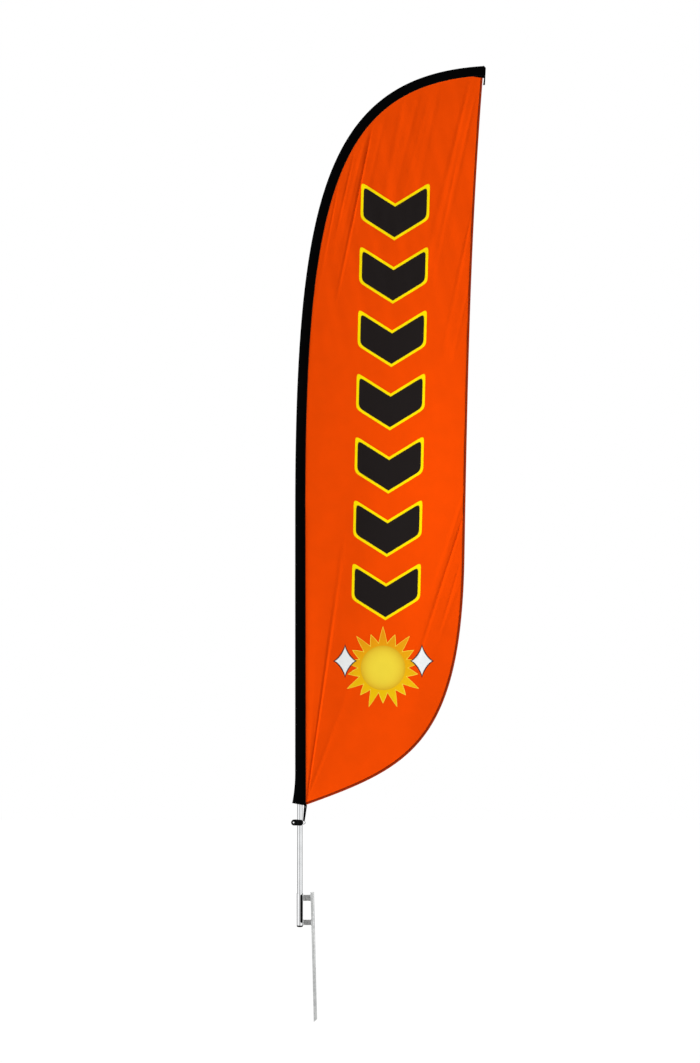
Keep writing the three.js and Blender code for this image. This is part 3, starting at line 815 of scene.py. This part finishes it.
def sleeve_point(length, turn, out=0.0):
    """A point of the sleeve's skin: round on the leading side, drawn in to the seam."""
    centre, across = pole_at(length)
    depth = core_radius(length) + sleeve_ease + sleeve_wall / 2
    side = math.cos(turn)
    width = trailing_edge(length) + seam_cover if side > 0.0 else leading_edge(length)
    drawn_in = 1.0 - seam_pinch * max(side, 0.0) ** 2
    ripple = sum(rise * math.sin(length * count + start)
                 for rise, count, start in sleeve_ripples)
    fold = 1.0 + ripple / depth * math.sin(ripple_lobes * turn + length * ripple_twist)
    place = centre + across * side * (width - sleeve_wall / 2 + out)
    place += Vector((0.0, (depth * drawn_in * fold + out) * math.sin(turn), 0.0))
    if length <= sleeve_start:
        place.z -= sleeve_slant * (place.x - pole_x)
    return place


def sleeve_ring(row):
    length = between(row, 0, sleeve_rows, sleeve_start, sleeve_end + binding_tuck)
    return [sleeve_point(length, 2.0 * math.pi * i / sleeve_around)
            for i in range(sleeve_around)]


sleeve_piece = loft("sleeve", [sleeve_ring(row) for row in range(sleeve_rows + 1)],
                    sleeve_cloth)
sleeve_skin = sleeve_piece.modifiers.new("wall", "SOLIDIFY")
sleeve_skin.thickness = sleeve_wall
sleeve_skin.offset = 0.0
fit_piece(sleeve_piece, "whip_and_flag", "sleeve_cloth", "pole_sleeve", sharp=60.0)


# ---- Flag cloth ----
# One sheet of dye-printed knitted polyester between the sleeve and the hem. The bent pole
# holds it tight, so it hangs in long drawn folds from the curved top and from its corners.

hem_width = 0.012
hem_foot_rise = 0.002
hem_head_drop = 0.006
corner_share = 0.02
trailing_height = 1.748
trailing_reach = 0.781
trailing_lean = math.radians(0.9)
trailing_top_pull = 0.760
trailing_upper_pull = 0.684
trailing_lower_pull = 0.883
trailing_foot_pull = 0.522
trailing_top_lean = math.radians(4.6)
trailing_foot_rise = math.radians(19.7)
billow = 0.042
flutter = 0.026
seam_overlap = 0.0015
cloth_columns = 168
cloth_rows = 282
cloth_thickness = 0.0005
cloth_end_gap = 0.0002
cloth_gathering = 0.05  # how far the grid's columns crowd towards both sides
cloth_held = 12.0  # the sleeve holds the cloth flat over 1/12 of its width
crease_lead = -0.12  # shares of a crease's run where it starts, is full, fades and ends
crease_full = 0.12
crease_fade = 0.25
crease_end = 1.15
crease_fan = (0.45, 0.9)  # its width at the root, and how much it widens
crease_reach = 3.0
fold_slant = 0.20
fold_centre = 3.0
drawn_from, drawn_full = 2.2, 3.4  # heights where the drawn folds start and are full
loose_full, loose_to = 1.4, 2.6  # heights where the loose waves are full and nearly gone
loose_kept = 0.35
drawn_waves = ((0.0009, 47.0, 0.0), (0.0004, 97.0, 1.3))  # depth, waves, start
loose_waves = ((0.0030, 13.0, 1.7, 0.0), (0.0009, 27.0, 3.9, 2.0))  # and waves up the flag


def sleeve_seam(length):
    """The line on which the cloth meets the sleeve."""
    centre, across = pole_at(length)
    return centre + across * (trailing_edge(length) + fit_gap)


def upright(lean):
    return Vector((math.sin(lean), 0.0, math.cos(lean)))


hem_foot = sleeve_start - sleeve_slant * trailing_width_foot + hem_foot_rise
hem_head = sleeve_end - hem_head_drop
edge_foot = sleeve_seam(hem_foot)
edge_head = sleeve_seam(hem_head)
edge_knee = Vector((pole_x + trailing_reach, 0.0, trailing_height))
foot_direction = Vector((math.cos(trailing_foot_rise), 0.0, math.sin(trailing_foot_rise)))
trailing_line = SmoothLine(
    (edge_foot, edge_foot + foot_direction * trailing_foot_pull,
     edge_knee - upright(trailing_lean) * trailing_lower_pull, edge_knee),
    (edge_knee, edge_knee + upright(trailing_lean) * trailing_upper_pull,
     edge_head - upright(trailing_top_lean) * trailing_top_pull, edge_head))


def edge_point(up, inset):
    """A point inset from the trailing edge, which turns along the seam near both ends."""
    if up <= 0.0:
        return sleeve_seam(hem_foot + inset)
    if up >= 1.0:
        return sleeve_seam(hem_head - inset)
    point, direction = trailing_line.at(up * trailing_line.length)
    inward = Vector((-direction.z, 0.0, direction.x))
    along_foot = (sleeve_seam(hem_foot + inset) - edge_foot).normalized()
    along_head = (sleeve_seam(hem_head - inset) - edge_head).normalized()
    inward = inward.lerp(along_foot, max(0.0, 1.0 - up / corner_share))
    inward = inward.lerp(along_head, max(0.0, 1.0 - (1.0 - up) / corner_share))
    return point + inward.normalized() * inset


cloth_inset = hem_width + fit_gap
cloth_foot = hem_foot + cloth_inset
cloth_head = hem_head - cloth_inset

# Creases drawn in the cloth: (x, z) where each is pulled from, (x, z) where it dies away,
# its depth and its width.
creases = [
    ((0.285, 3.83), (0.125, 3.05), 0.0095, 0.0046),
    ((0.262, 3.80), (0.110, 3.16), -0.0030, 0.012),
    ((0.200, 3.70), (0.110, 3.30), 0.0055, 0.0046), ((0.125, 3.55), (0.055, 3.20), 0.0058, 0.0044),
    ((0.115, 3.50), (0.030, 3.05), 0.0040, 0.0046), ((0.092, 3.44), (0.000, 2.90), 0.0018, 0.0050),
    ((0.345, 3.86), (0.190, 3.20), -0.0014, 0.011), ((0.430, 3.93), (0.270, 3.10), 0.0024, 0.020),
    ((0.505, 3.96), (0.330, 3.25), -0.0020, 0.016), ((0.560, 3.98), (0.395, 3.35), 0.0013, 0.009),
    ((0.600, 4.00), (0.400, 3.05), -0.0018, 0.020), ((0.735, 3.98), (0.490, 2.95), 0.0034, 0.016),
    ((0.760, 3.90), (0.580, 3.10), -0.0026, 0.014), ((0.675, 3.60), (0.560, 3.05), 0.0018, 0.009),
    ((0.745, 3.35), (0.610, 2.70), 0.0026, 0.011), ((0.742, 3.05), (0.640, 2.60), -0.0015, 0.010),
    ((0.712, 1.95), (0.500, 1.28), 0.0062, 0.0060), ((0.712, 2.04), (0.530, 1.45), -0.0028, 0.013),
    ((0.690, 1.70), (0.590, 1.36), 0.0028, 0.0060), ((0.690, 1.62), (0.540, 1.22), -0.0016, 0.012),
    ((-0.030, 0.60), (0.130, 1.72), 0.0062, 0.0066),
    ((-0.030, 0.60), (0.055, 1.20), -0.0022, 0.0060),
    ((-0.030, 0.60), (0.230, 1.30), 0.0015, 0.014),
    ((-0.028, 0.60), (0.015, 1.00), 0.0018, 0.0050),
]


def crease_depth(x, z):
    """How far the creases move the cloth at a place in its plane."""
    total = 0.0
    for (x0, z0), (x1, z1), depth, width in creases:
        run_x, run_z = x1 - x0, z1 - z0
        run = math.hypot(run_x, run_z)
        share = ((x - x0) * run_x + (z - z0) * run_z) / (run * run)
        if share < crease_lead or share > crease_end:
            continue
        away = ((x - x0) * run_z - (z - z0) * run_x) / run
        spread = width * (crease_fan[0] + crease_fan[1] * min(max(share, 0.0), 1.0))
        if abs(away) > crease_reach * spread:
            continue
        fade = between(share, crease_lead, crease_full, 0.0, 1.0)
        fade *= between(share, crease_fade, crease_end, 1.0, 0.0)
        total += depth * fade * math.exp(-(away / spread) ** 2)
    return total


def drawn_folds(x, z):
    """The broad slanting folds of the upper half, and loose waves lower down."""
    slant = x + fold_slant * (z - fold_centre)
    folds = sum(depth * math.sin(slant * count + start) for depth, count, start in drawn_waves)
    loose = sum(depth * math.sin(x * count - z * rise + start)
                for depth, count, rise, start in loose_waves)
    return (folds * between(z, drawn_from, drawn_full, 0.0, 1.0)
            + loose * between(z, loose_full, loose_to, 1.0, loose_kept))


def cloth_depth(across, up, x, z):
    """How far the cloth stands out of its plane."""
    belly = billow * math.sin(math.pi * across)
    wave = flutter * across * across * math.sin(3.0 * math.pi * up)
    ends = math.sin(math.pi * up)
    held = min(1.0, across * cloth_held)
    loose = crease_depth(x, z) + drawn_folds(x, z) * ends ** 0.3
    return ends * (belly + wave) + held * loose


def cloth_point(across, up):
    """A point of the cloth, from the sleeve to the hem and from its foot to its head."""
    seam = sleeve_seam(cloth_foot + (cloth_head - cloth_foot) * up)
    edge = edge_point(up, cloth_inset)
    point = seam.lerp(edge, across)
    point.y = cloth_depth(across, up, point.x, point.z)
    outward = (edge - seam) / max((edge - seam).length, 0.01)
    if across <= 0.0:
        point -= outward * seam_overlap
    elif across >= 1.0:
        point += outward * seam_overlap
    return point


def make_flag():
    bm = bmesh.new()
    uv_map = bm.loops.layers.uv.new("print")
    bmesh.ops.create_grid(bm, x_segments=cloth_columns, y_segments=cloth_rows, size=0.5)
    for vert in bm.verts:
        across, up = vert.co.x + 0.5, vert.co.y + 0.5
        across -= cloth_gathering * math.sin(2.0 * math.pi * across)
        across = round(min(max(across, 0.0), 1.0), 6)
        vert.co = cloth_point(across, cloth_end_gap + (1.0 - 2.0 * cloth_end_gap) * up)
    for face in bm.faces:
        for loop in face.loops:
            place = loop.vert.co
            loop[uv_map].uv = ((place.x - flag_low.x) / flag_size.x,
                               (place.z - flag_low.z) / flag_size.z)
    bmesh.ops.recalc_face_normals(bm, faces=bm.faces)
    return bm


flag_low, flag_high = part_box("flag_panel")
flag_size = flag_high - flag_low

# The print: seven bold chevrons pointing down to the door, a plain sun, and two sparkles.
chevron_count = 7
chevron_pitch = 0.301
chevron_foot = (0.346, 1.589)
chevron_column_lean = 0.0236
chevron_half_width = 0.151
chevron_slope = 0.62
chevron_half_stroke = 0.062
outline_width = 0.012
sun_place = (0.3317, 1.2287)
sun_radius = 0.106
sun_rays = 18
ray_root = 0.122
ray_length = 0.062
ray_spare = 0.014
sparkle_places = ((0.1514, 1.2619), (0.5168, 1.2619))
sparkle_half_size = (0.058, 0.082)
sparkle_curve = 0.74
sparkle_outline = 0.0045
sparkle_scale = 0.04
sun_outline = 0.006
ray_curve = 1.25
ray_warming, ray_middle = 3.2, 0.45  # the rays go from yellow to gold up the sun
disc_shading = 4.0
chevron_corner = 0.03
print_edge = 0.0012  # how far the ink blurs

dye_orange = (0.82, 0.063, 0.0001, 1.0)
dye_black = (0.0125, 0.0105, 0.0105, 1.0)
dye_yellow = (0.95, 0.74, 0.001, 1.0)
dye_white = (0.80, 0.82, 0.82, 1.0)
sun_gold = (0.75, 0.27, 0.006, 1.0)
sun_yellow = (0.80, 0.50, 0.004, 1.0)
sun_pale = (0.82, 0.63, 0.045, 1.0)
sun_rim = (0.66, 0.38, 0.016, 1.0)
show_through = (0.86, 0.24, 0.09, 1.0)
cloth_sheen = (1.0, 0.35, 0.05, 1.0)


def inside(tree, distance, edge=0.0):
    """A mask of 1 where a distance is below an edge, softened over the width of the ink."""
    return remap(tree, distance, edge + print_edge, edge - print_edge)


def paint_chevrons(tree, x, z, color):
    """A column of chevrons, each with a bright outline."""
    rows = calc(tree, "SUBTRACT", z, chevron_foot[1])
    centre = calc(tree, "MULTIPLY_ADD", rows, chevron_column_lean, chevron_foot[0])
    side = calc(tree, "ABSOLUTE", calc(tree, "SUBTRACT", x, centre))
    count = calc(tree, "MULTIPLY_ADD", rows, 1.0 / chevron_pitch, 0.5)
    height = calc(tree, "MULTIPLY_ADD", calc(tree, "FRACT", count), chevron_pitch,
                  -0.5 * chevron_pitch)
    arm = calc(tree, "MULTIPLY_ADD", side, chevron_slope,
               -0.5 * chevron_slope * chevron_half_width)
    stroke = calc(tree, "ABSOLUTE", calc(tree, "SUBTRACT", height, arm))
    stroke = calc(tree, "SUBTRACT", calc(tree, "MULTIPLY", stroke,
                                         math.cos(math.atan(chevron_slope))),
                  chevron_half_stroke)
    reach = calc(tree, "SUBTRACT", side, chevron_half_width)
    distance = calc(tree, "SMOOTH_MAX", stroke, reach, chevron_corner)
    off_column = calc(tree, "ABSOLUTE", calc(tree, "SUBTRACT", count, 0.5 * chevron_count))
    off_column = calc(tree, "GREATER_THAN", off_column, 0.5 * chevron_count)
    distance = calc(tree, "ADD", distance, off_column)
    color = paint(tree, color, inside(tree, distance, outline_width), dye_yellow)
    return paint(tree, color, inside(tree, distance), dye_black)


def paint_sun(tree, x, z, color):
    """A round sun with straight rays, long and short in turn."""
    side = calc(tree, "SUBTRACT", x, sun_place[0])
    height = calc(tree, "SUBTRACT", z, sun_place[1])
    away = calc(tree, "SQRT", calc(tree, "ADD", calc(tree, "MULTIPLY", side, side),
                                   calc(tree, "MULTIPLY", height, height)))
    heading = calc(tree, "ARCTAN2", side, height)
    ray = calc(tree, "PINGPONG", calc(tree, "MULTIPLY", heading, sun_rays / math.tau), 0.5)
    ray = calc(tree, "POWER", calc(tree, "MULTIPLY_ADD", ray, -2.0, 1.0), ray_curve)
    longer = calc(tree, "COSINE", calc(tree, "MULTIPLY", heading, 0.5 * sun_rays))
    length = calc(tree, "MULTIPLY_ADD", longer, ray_spare, ray_length)
    edge = calc(tree, "MULTIPLY_ADD", ray, length, ray_root)
    distance = calc(tree, "SUBTRACT", away, edge)
    warm = calc(tree, "MULTIPLY_ADD", height, ray_warming, ray_middle)
    rays = paint(tree, sun_yellow, warm, sun_gold)
    color = paint(tree, color, inside(tree, distance), sun_pale)
    color = paint(tree, color, inside(tree, distance, -sun_outline), rays)
    shade = calc(tree, "POWER", calc(tree, "DIVIDE", away, sun_radius), disc_shading)
    disc = paint(tree, sun_pale, shade, sun_rim)
    return paint(tree, color, inside(tree, away, sun_radius), disc)


def paint_sparkle(tree, x, z, place, color):
    """A four-pointed white sparkle with a dark outline."""
    parts = []
    for value, centre, size in zip((x, z), place, sparkle_half_size):
        part = calc(tree, "ABSOLUTE", calc(tree, "SUBTRACT", value, centre))
        parts.append(calc(tree, "POWER", calc(tree, "DIVIDE", part, size), sparkle_curve))
    distance = calc(tree, "MULTIPLY_ADD", calc(tree, "ADD", *parts), sparkle_scale,
                    -sparkle_scale)
    color = paint(tree, color, inside(tree, distance), dye_black)
    return paint(tree, color, inside(tree, distance, -sparkle_outline), dye_white)


def make_print():
    """The whole print, painted by place on the cloth."""
    group, _, made = new_group("flag_print", [], Color="Color")
    place = group.nodes.new("ShaderNodeUVMap")
    place.uv_map = "print"
    split = group.nodes.new("ShaderNodeSeparateXYZ")
    group.links.new(place.outputs["UV"], split.inputs["Vector"])
    x = calc(group, "MULTIPLY_ADD", split.outputs["X"], flag_size.x, flag_low.x)
    z = calc(group, "MULTIPLY_ADD", split.outputs["Y"], flag_size.z, flag_low.z)
    color = paint_sun(group, x, z, paint_chevrons(group, x, z, dye_orange))
    for centre in sparkle_places:
        color = paint_sparkle(group, x, z, centre, color)
    group.links.new(color, made["Color"])
    return group


flag_print = make_print()


def make_flag_cloth(name, wash):
    """Printed knit: full strength on the face, a little paler where it shows through."""
    material, tree, shader = new_material(name, dye_orange, 0.72, specular=0.03)
    shader.inputs["Sheen Weight"].default_value = 0.02
    shader.inputs["Sheen Roughness"].default_value = 0.6
    shader.inputs["Sheen Tint"].default_value = cloth_sheen
    ink = tree.nodes.new("ShaderNodeGroup")
    ink.node_tree = flag_print
    color = paint(tree, ink.outputs["Color"], wash, show_through)
    add_knit(tree, shader, color, pitch=0.0014, uneven=0.06, strength=0.35)
    return material


flag_face = make_flag_cloth("flag_face", 0.0)
flag_back = make_flag_cloth("flag_back", 0.06)
flag = new_object("flag_sheet", make_flag(), flag_face, flag_back)
flag_wall = flag.modifiers.new("wall", "SOLIDIFY")
flag_wall.thickness = cloth_thickness
flag_wall.offset = 0.0
flag_wall.material_offset = 1
fit_piece(flag, "whip_and_flag", "flag_cloth", "flag_panel", sharp=180.0)

# Beside the sleeve the cloth is turned under, which leaves a soft roll along the seam. The
# roll is coloured a brighter orange than the dye, which is a painted highlight along the fold.
roll_width = 0.0024
roll_half_depth = 0.0010
roll_rows = 500
roll_around = 8


def seam_roll_ring(row):
    length = between(row, 0, roll_rows, cloth_foot, cloth_head)
    centre = sleeve_seam(length)
    across = pole_at(length)[1]
    points = []
    for i in range(roll_around):
        turn = 2.0 * math.pi * i / roll_around
        side = (1.0 + math.cos(turn)) * roll_width / 2
        points.append(centre + across * side
                      + Vector((0.0, roll_half_depth * math.sin(turn), 0.0)))
    return points


# A brighter orange than the dye: a painted highlight along the folded seam and inside the hem's
# stitching.
highlight_orange = (0.98, 0.095, 0.0005, 1.0)
seam_highlight_cloth = cloth("seam_highlight_cloth", highlight_orange, roughness=0.7, specular=0.03, pitch=0.0014,
                   uneven=0.12, strength=0.35)
seam_roll = loft("seam_roll", [seam_roll_ring(row) for row in range(roll_rows + 1)],
                 seam_highlight_cloth)
fit_piece(seam_roll, "whip_and_flag", "flag_cloth", sharp=80.0)


# ---- Hem ----
# The free edge of the flag is turned over twice and stitched down, which makes a narrow,
# thicker border. Its colours are painted light and shade: a painted highlight of brighter
# orange inside the stitching, then painted shade in dark and red-brown bands out to the outer
# fold.

hem_rows = 950
hem_section = [(0.0, 0.35), (0.10, 0.85), (0.28, 0.72), (0.50, 1.0), (0.73, 0.72), (0.90, 0.9),
               (1.0, 0.3)]
hem_half_thickness = 0.0006
# The hem's red-brown and dark tones are painted shade: the shadow under both rows of stitching and
# of the folded layers.
hem_shade_color = (0.35, 0.015, 0.001)
hem_stitch_shade = (0.120, 0.009, 0.001, 1.0)
hem_fold_shade = (0.40, 0.032, 0.001, 1.0)
hem_outer_stitch_shade = (0.200, 0.015, 0.001, 1.0)
hem_rim_shade = (0.66, 0.058, 0.002, 1.0)
hem_lip = 0.15  # share of the hem that stays orange on the upright edge
hem_turn = (0.9, 1.3)  # between these heights the bottom edge turns into the upright one
# Bands across the hem, inner edge out: painted highlight, painted shade under the inner stitches,
# red-brown painted shade, darker painted shade under the outer stitches, red-brown painted shade
# at the rim.
hem_light_and_shade_bands = [(0.09, highlight_orange), (0.15, hem_stitch_shade), (0.36, hem_stitch_shade), (0.44, hem_fold_shade),
             (0.62, hem_fold_shade), (0.68, hem_outer_stitch_shade), (0.80, hem_outer_stitch_shade), (0.86, hem_rim_shade)]


def hem_point(up, share, side):
    """A point of the hem: share runs from its inner edge to its outer one."""
    point = edge_point(up, hem_width * (1.0 - share))
    outer = edge_point(up, 0.0)
    point.y = cloth_depth(1.0, up, outer.x, outer.z) + side
    if up <= 0.0 or up >= 1.0:
        point -= pole_at(hem_head if up > 0.5 else hem_foot)[1] * seam_overlap
    return point


def make_hem():
    bm = bmesh.new()
    spread = bm.verts.layers.float.new("hem_spread")
    front = [(share, -hem_half_thickness * part) for share, part in hem_section]
    back = [(share, -side) for share, side in reversed(front)]
    loops = []
    for i in range(hem_rows + 1):
        verts = []
        for share, side in front + back:
            vert = bm.verts.new(hem_point(i / hem_rows, share, side))
            low = between(vert.co.z, *hem_turn, 1.0, 0.0)
            vert[spread] = share + low * hem_lip * (1.0 - share)
            verts.append(vert)
        loops.append([bm.edges.new((verts[k - 1], verts[k])) for k in range(len(verts))])
    for first, second in zip(loops, loops[1:]):
        bmesh.ops.bridge_loops(bm, edges=first + second)
    for end in (loops[0], loops[-1]):
        bmesh.ops.edgeloop_fill(bm, edges=end)
    bmesh.ops.recalc_face_normals(bm, faces=bm.faces)
    return bm


def make_hem_shaded_cloth():
    """Painted highlight of brighter orange inside the stitching, then painted shade in dark
    and red-brown bands out to the outer fold.
    """
    material, tree, shader = new_material("hem_cloth", hem_shade_color, 0.75, specular=0.08)
    spread = tree.nodes.new("ShaderNodeAttribute")
    spread.attribute_name = "hem_spread"
    bands = tree.nodes.new("ShaderNodeValToRGB")
    tree.links.new(spread.outputs["Fac"], bands.inputs["Fac"])
    set_bands(bands.color_ramp, hem_light_and_shade_bands)
    add_knit(tree, shader, bands.outputs["Color"], pitch=0.0014, uneven=0.25, strength=0.35)
    return material


hem = new_object("hem", make_hem(), make_hem_shaded_cloth())
fit_piece(hem, "whip_and_flag", "hem_cloth", "trailing_hem", sharp=80.0)


# ---- Stitching ----
# Lock stitches of dark thread hold down the hem, and black ones close the pole pocket. Each
# stitch dips into the cloth at both ends.

stitch_pitch = 0.0042
stitch_length = 0.0031
thread_width = 0.0008
thread_flatness = 0.35
thread_twist = 900.0
thread_shade = 0.35
stitch_steps = 3000
stitch_sunk = 0.95
hem_end_margin = 0.001
sleeve_end_margin = 0.004


def make_thread(name, color):
    """Twisted thread: fine slanting strands round each stitch."""
    material, tree, shader = new_material(name, color, 0.6)
    twist = waves(tree, "DIAGONAL", thread_twist)
    dark = tuple(thread_shade * part for part in color)
    shade = paint(tree, (*color, 1.0), calc(tree, "MULTIPLY", twist, 0.5), (*dark, 1.0))
    tree.links.new(shade, shader.inputs["Base Color"])
    add_bump(tree, shader, twist, 1.0, 0.0001)
    return material


def sew(name, path, side, thread):
    """Lays stitches along a list of points close together on one side of the cloth."""
    bm = bmesh.new()
    outward = Vector((0.0, side, 0.0))
    gone = 0.0
    for first, second in zip(path, path[1:]):
        step = second - first
        gone += step.length
        if gone < stitch_pitch:
            continue
        gone -= stitch_pitch
        run = step.normalized()
        out = (outward - run * outward.dot(run)).normalized()
        turn = Matrix((run, run.cross(out), out)).transposed().to_4x4()
        size = Matrix.Diagonal((stitch_length / 2, thread_width / 2,
                                thread_width * thread_flatness, 1.0))
        place = Matrix.Translation(second - run * gone)
        bmesh.ops.create_icosphere(bm, subdivisions=1, radius=1.0, matrix=place @ turn @ size)
    stitches = new_object(name, bm, thread)
    stitches.data.shade_smooth()
    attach(stitches, "whip_and_flag")
    return stitches


dark_thread = make_thread("dark_thread", (0.035, 0.008, 0.003))
red_thread = make_thread("red_thread", (0.230, 0.020, 0.003))
black_thread = make_thread("black_thread", (0.010, 0.010, 0.011))
for side, side_name in ((-1.0, "front"), (1.0, "back")):
    for share, row_name, thread in ((0.28, "inner", dark_thread), (0.73, "outer", red_thread)):
        path = [hem_point(hem_end_margin + (1.0 - 2.0 * hem_end_margin) * i / stitch_steps,
                          share, side * hem_half_thickness * stitch_sunk)
                for i in range(stitch_steps + 1)]
        sew(f"hem_stitches_{row_name}_{side_name}", path, side, thread)
    for turn, row_name in ((20.0, "near"), (27.0, "far")):
        path = [sleeve_point(between(i, 0, stitch_steps, sleeve_start + sleeve_end_margin,
                                     sleeve_end - sleeve_end_margin),
                             side * math.radians(turn), sleeve_wall / 2)
                for i in range(stitch_steps + 1)]
        sew(f"sleeve_stitches_{row_name}_{side_name}", path, side, black_thread)


# ---- Tip binding ----
# A folded tape closes the end of the pole pocket over the tip and hangs a little below it,
# where it takes the flag's upper corner.


def finish_copy(name, node, material, width, body, slot, sharp=35.0):
    """Finishes a merged copy of a CAD piece, with its hard edges rounded to a width."""
    bm = bmesh.new()
    bm.from_mesh(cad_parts[node].data)
    bmesh.ops.remove_doubles(bm, verts=bm.verts, dist=1e-6)
    bmesh.ops.dissolve_limit(bm, angle_limit=math.radians(0.5), verts=bm.verts,
                             edges=bm.edges)
    piece = new_object(name, bm, material)
    if width:
        soften(piece, width)
    fit_piece(piece, body, slot, node, sharp=sharp)


finish_copy("tip_tape", "tip_binding", sleeve_cloth, 0.0012, "whip_and_flag", "sleeve_cloth",
            sharp=50.0)

# A black patch on both faces reinforces the flag's upper corner under the tape.
patch_outline = [(-0.080, -0.004), (-0.045, 0.0035), (-0.020, 0.0095), (0.003, 0.0145),
                 (0.004, -0.004)]
patch_half_thickness = 0.0013
patch_edge = 0.0005


def make_corner_patch():
    """A thin plate whose outline is given along the pole and out from the sleeve's edge."""
    outline = []
    for along, out in patch_outline:
        centre, across = pole_at(sleeve_end + along)
        place = centre + across * (trailing_edge(sleeve_end + along) + out)
        outline.append((place.x, place.z))
    bm = plate(outline, -patch_half_thickness, patch_half_thickness)
    bmesh.ops.bevel(bm, geom=bm.edges[:], offset=patch_edge, segments=2, profile=0.5,
                    affect="EDGES", material=-1)
    return bm


corner_patch = new_object("corner_patch", make_corner_patch(), sleeve_cloth)
fit_piece(corner_patch, "whip_and_flag", "sleeve_cloth")


# ---- Pole clamp ----
# A moulded nylon clip pinched on the pole below the flag: a split ring with two ears, a
# screw and nut across them, and a bent wire hook that takes the flag's strap.

clamp_nylon = moulded("clamp_nylon", (0.002, 0.002, 0.0022), 0.34, grain=700.0)
wire_coat = moulded("wire_coat", (0.004, 0.004, 0.004), 0.3, grain=500.0)
black_steel = metal("black_oxide", bright=(0.03, 0.03, 0.032), dull=(0.014, 0.014, 0.015),
                    smooth=0.3, rough=0.5, cloud=300.0, relief=0.0001)

finish_copy("clamp", "clamp_body", clamp_nylon, 0.0009, "pole_clamp", "black_nylon")
finish_copy("clamp_screw_finished", "clamp_screw", black_steel, 0.0002, "pinch_screw",
            "black_steel")
finish_copy("clamp_nut_finished", "clamp_nut", black_steel, 0.0003, "pole_clamp", "black_steel")
finish_copy("wire_hook", "clamp_hook", wire_coat, 0.0, "pole_clamp", "coated_wire", sharp=60.0)


# ---- Tension strap ----
# Black woven webbing sewn inside the foot of the pole pocket. It narrows to the hook on the
# clamp, which holds the flag down, and an aluminium eyelet stiffens its upper end.

strap_low, strap_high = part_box("tension_strap")
strap_sewn_in = 0.014
strap_hooked = 0.0012
strap_sewn_middle = pole_x + 0.019
strap_top_middle = pole_x + 0.027
strap_foot_middle = pole_x + 0.0192
strap_top_half = 0.0072
strap_foot_half = 0.0046
strap_half_thickness = 0.001
strap_rows = 150
rib_depth = 0.00012
# Across half of the webbing: (share of its half width, share of its half thickness).
strap_section = [(-1.0, 0.35), (-0.92, 0.9), (-0.6, 0.9), (-0.3, 0.97), (0.0, 0.9),
                 (0.3, 0.97), (0.6, 0.9), (0.92, 0.9), (1.0, 0.35)]


def strap_ring(row):
    """One section of the webbing, with rounded selvedges and a rib every other row."""
    z = between(row, 0, strap_rows, strap_low.z - strap_hooked, strap_high.z + strap_sewn_in)
    middle = between(z, strap_low.z, strap_high.z, strap_foot_middle, strap_top_middle)
    middle = between(z, strap_high.z, strap_high.z + strap_sewn_in, middle, strap_sewn_middle)
    half = between(z, strap_low.z, strap_high.z, strap_foot_half, strap_top_half)
    thick = strap_half_thickness - (rib_depth if row % 2 else 0.0)
    points = [(middle + share * half, -thick * depth, z) for share, depth in strap_section]
    points += [(x, -y, height) for x, y, height in reversed(points)]
    return points


webbing = cloth("webbing", (0.0025, 0.0025, 0.0027, 1.0), roughness=0.7, specular=0.02,
                pitch=0.0010, uneven=0.4, strength=0.6)
strap = loft("strap", [strap_ring(row) for row in range(strap_rows + 1)], webbing)
fit_piece(strap, "whip_and_flag", "webbing", "tension_strap", sharp=60.0)
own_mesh(strap)
finish_copy("eyelet", "strap_eyelet", polished_tube, 0.0003, "whip_and_flag",
            "tube_aluminium")
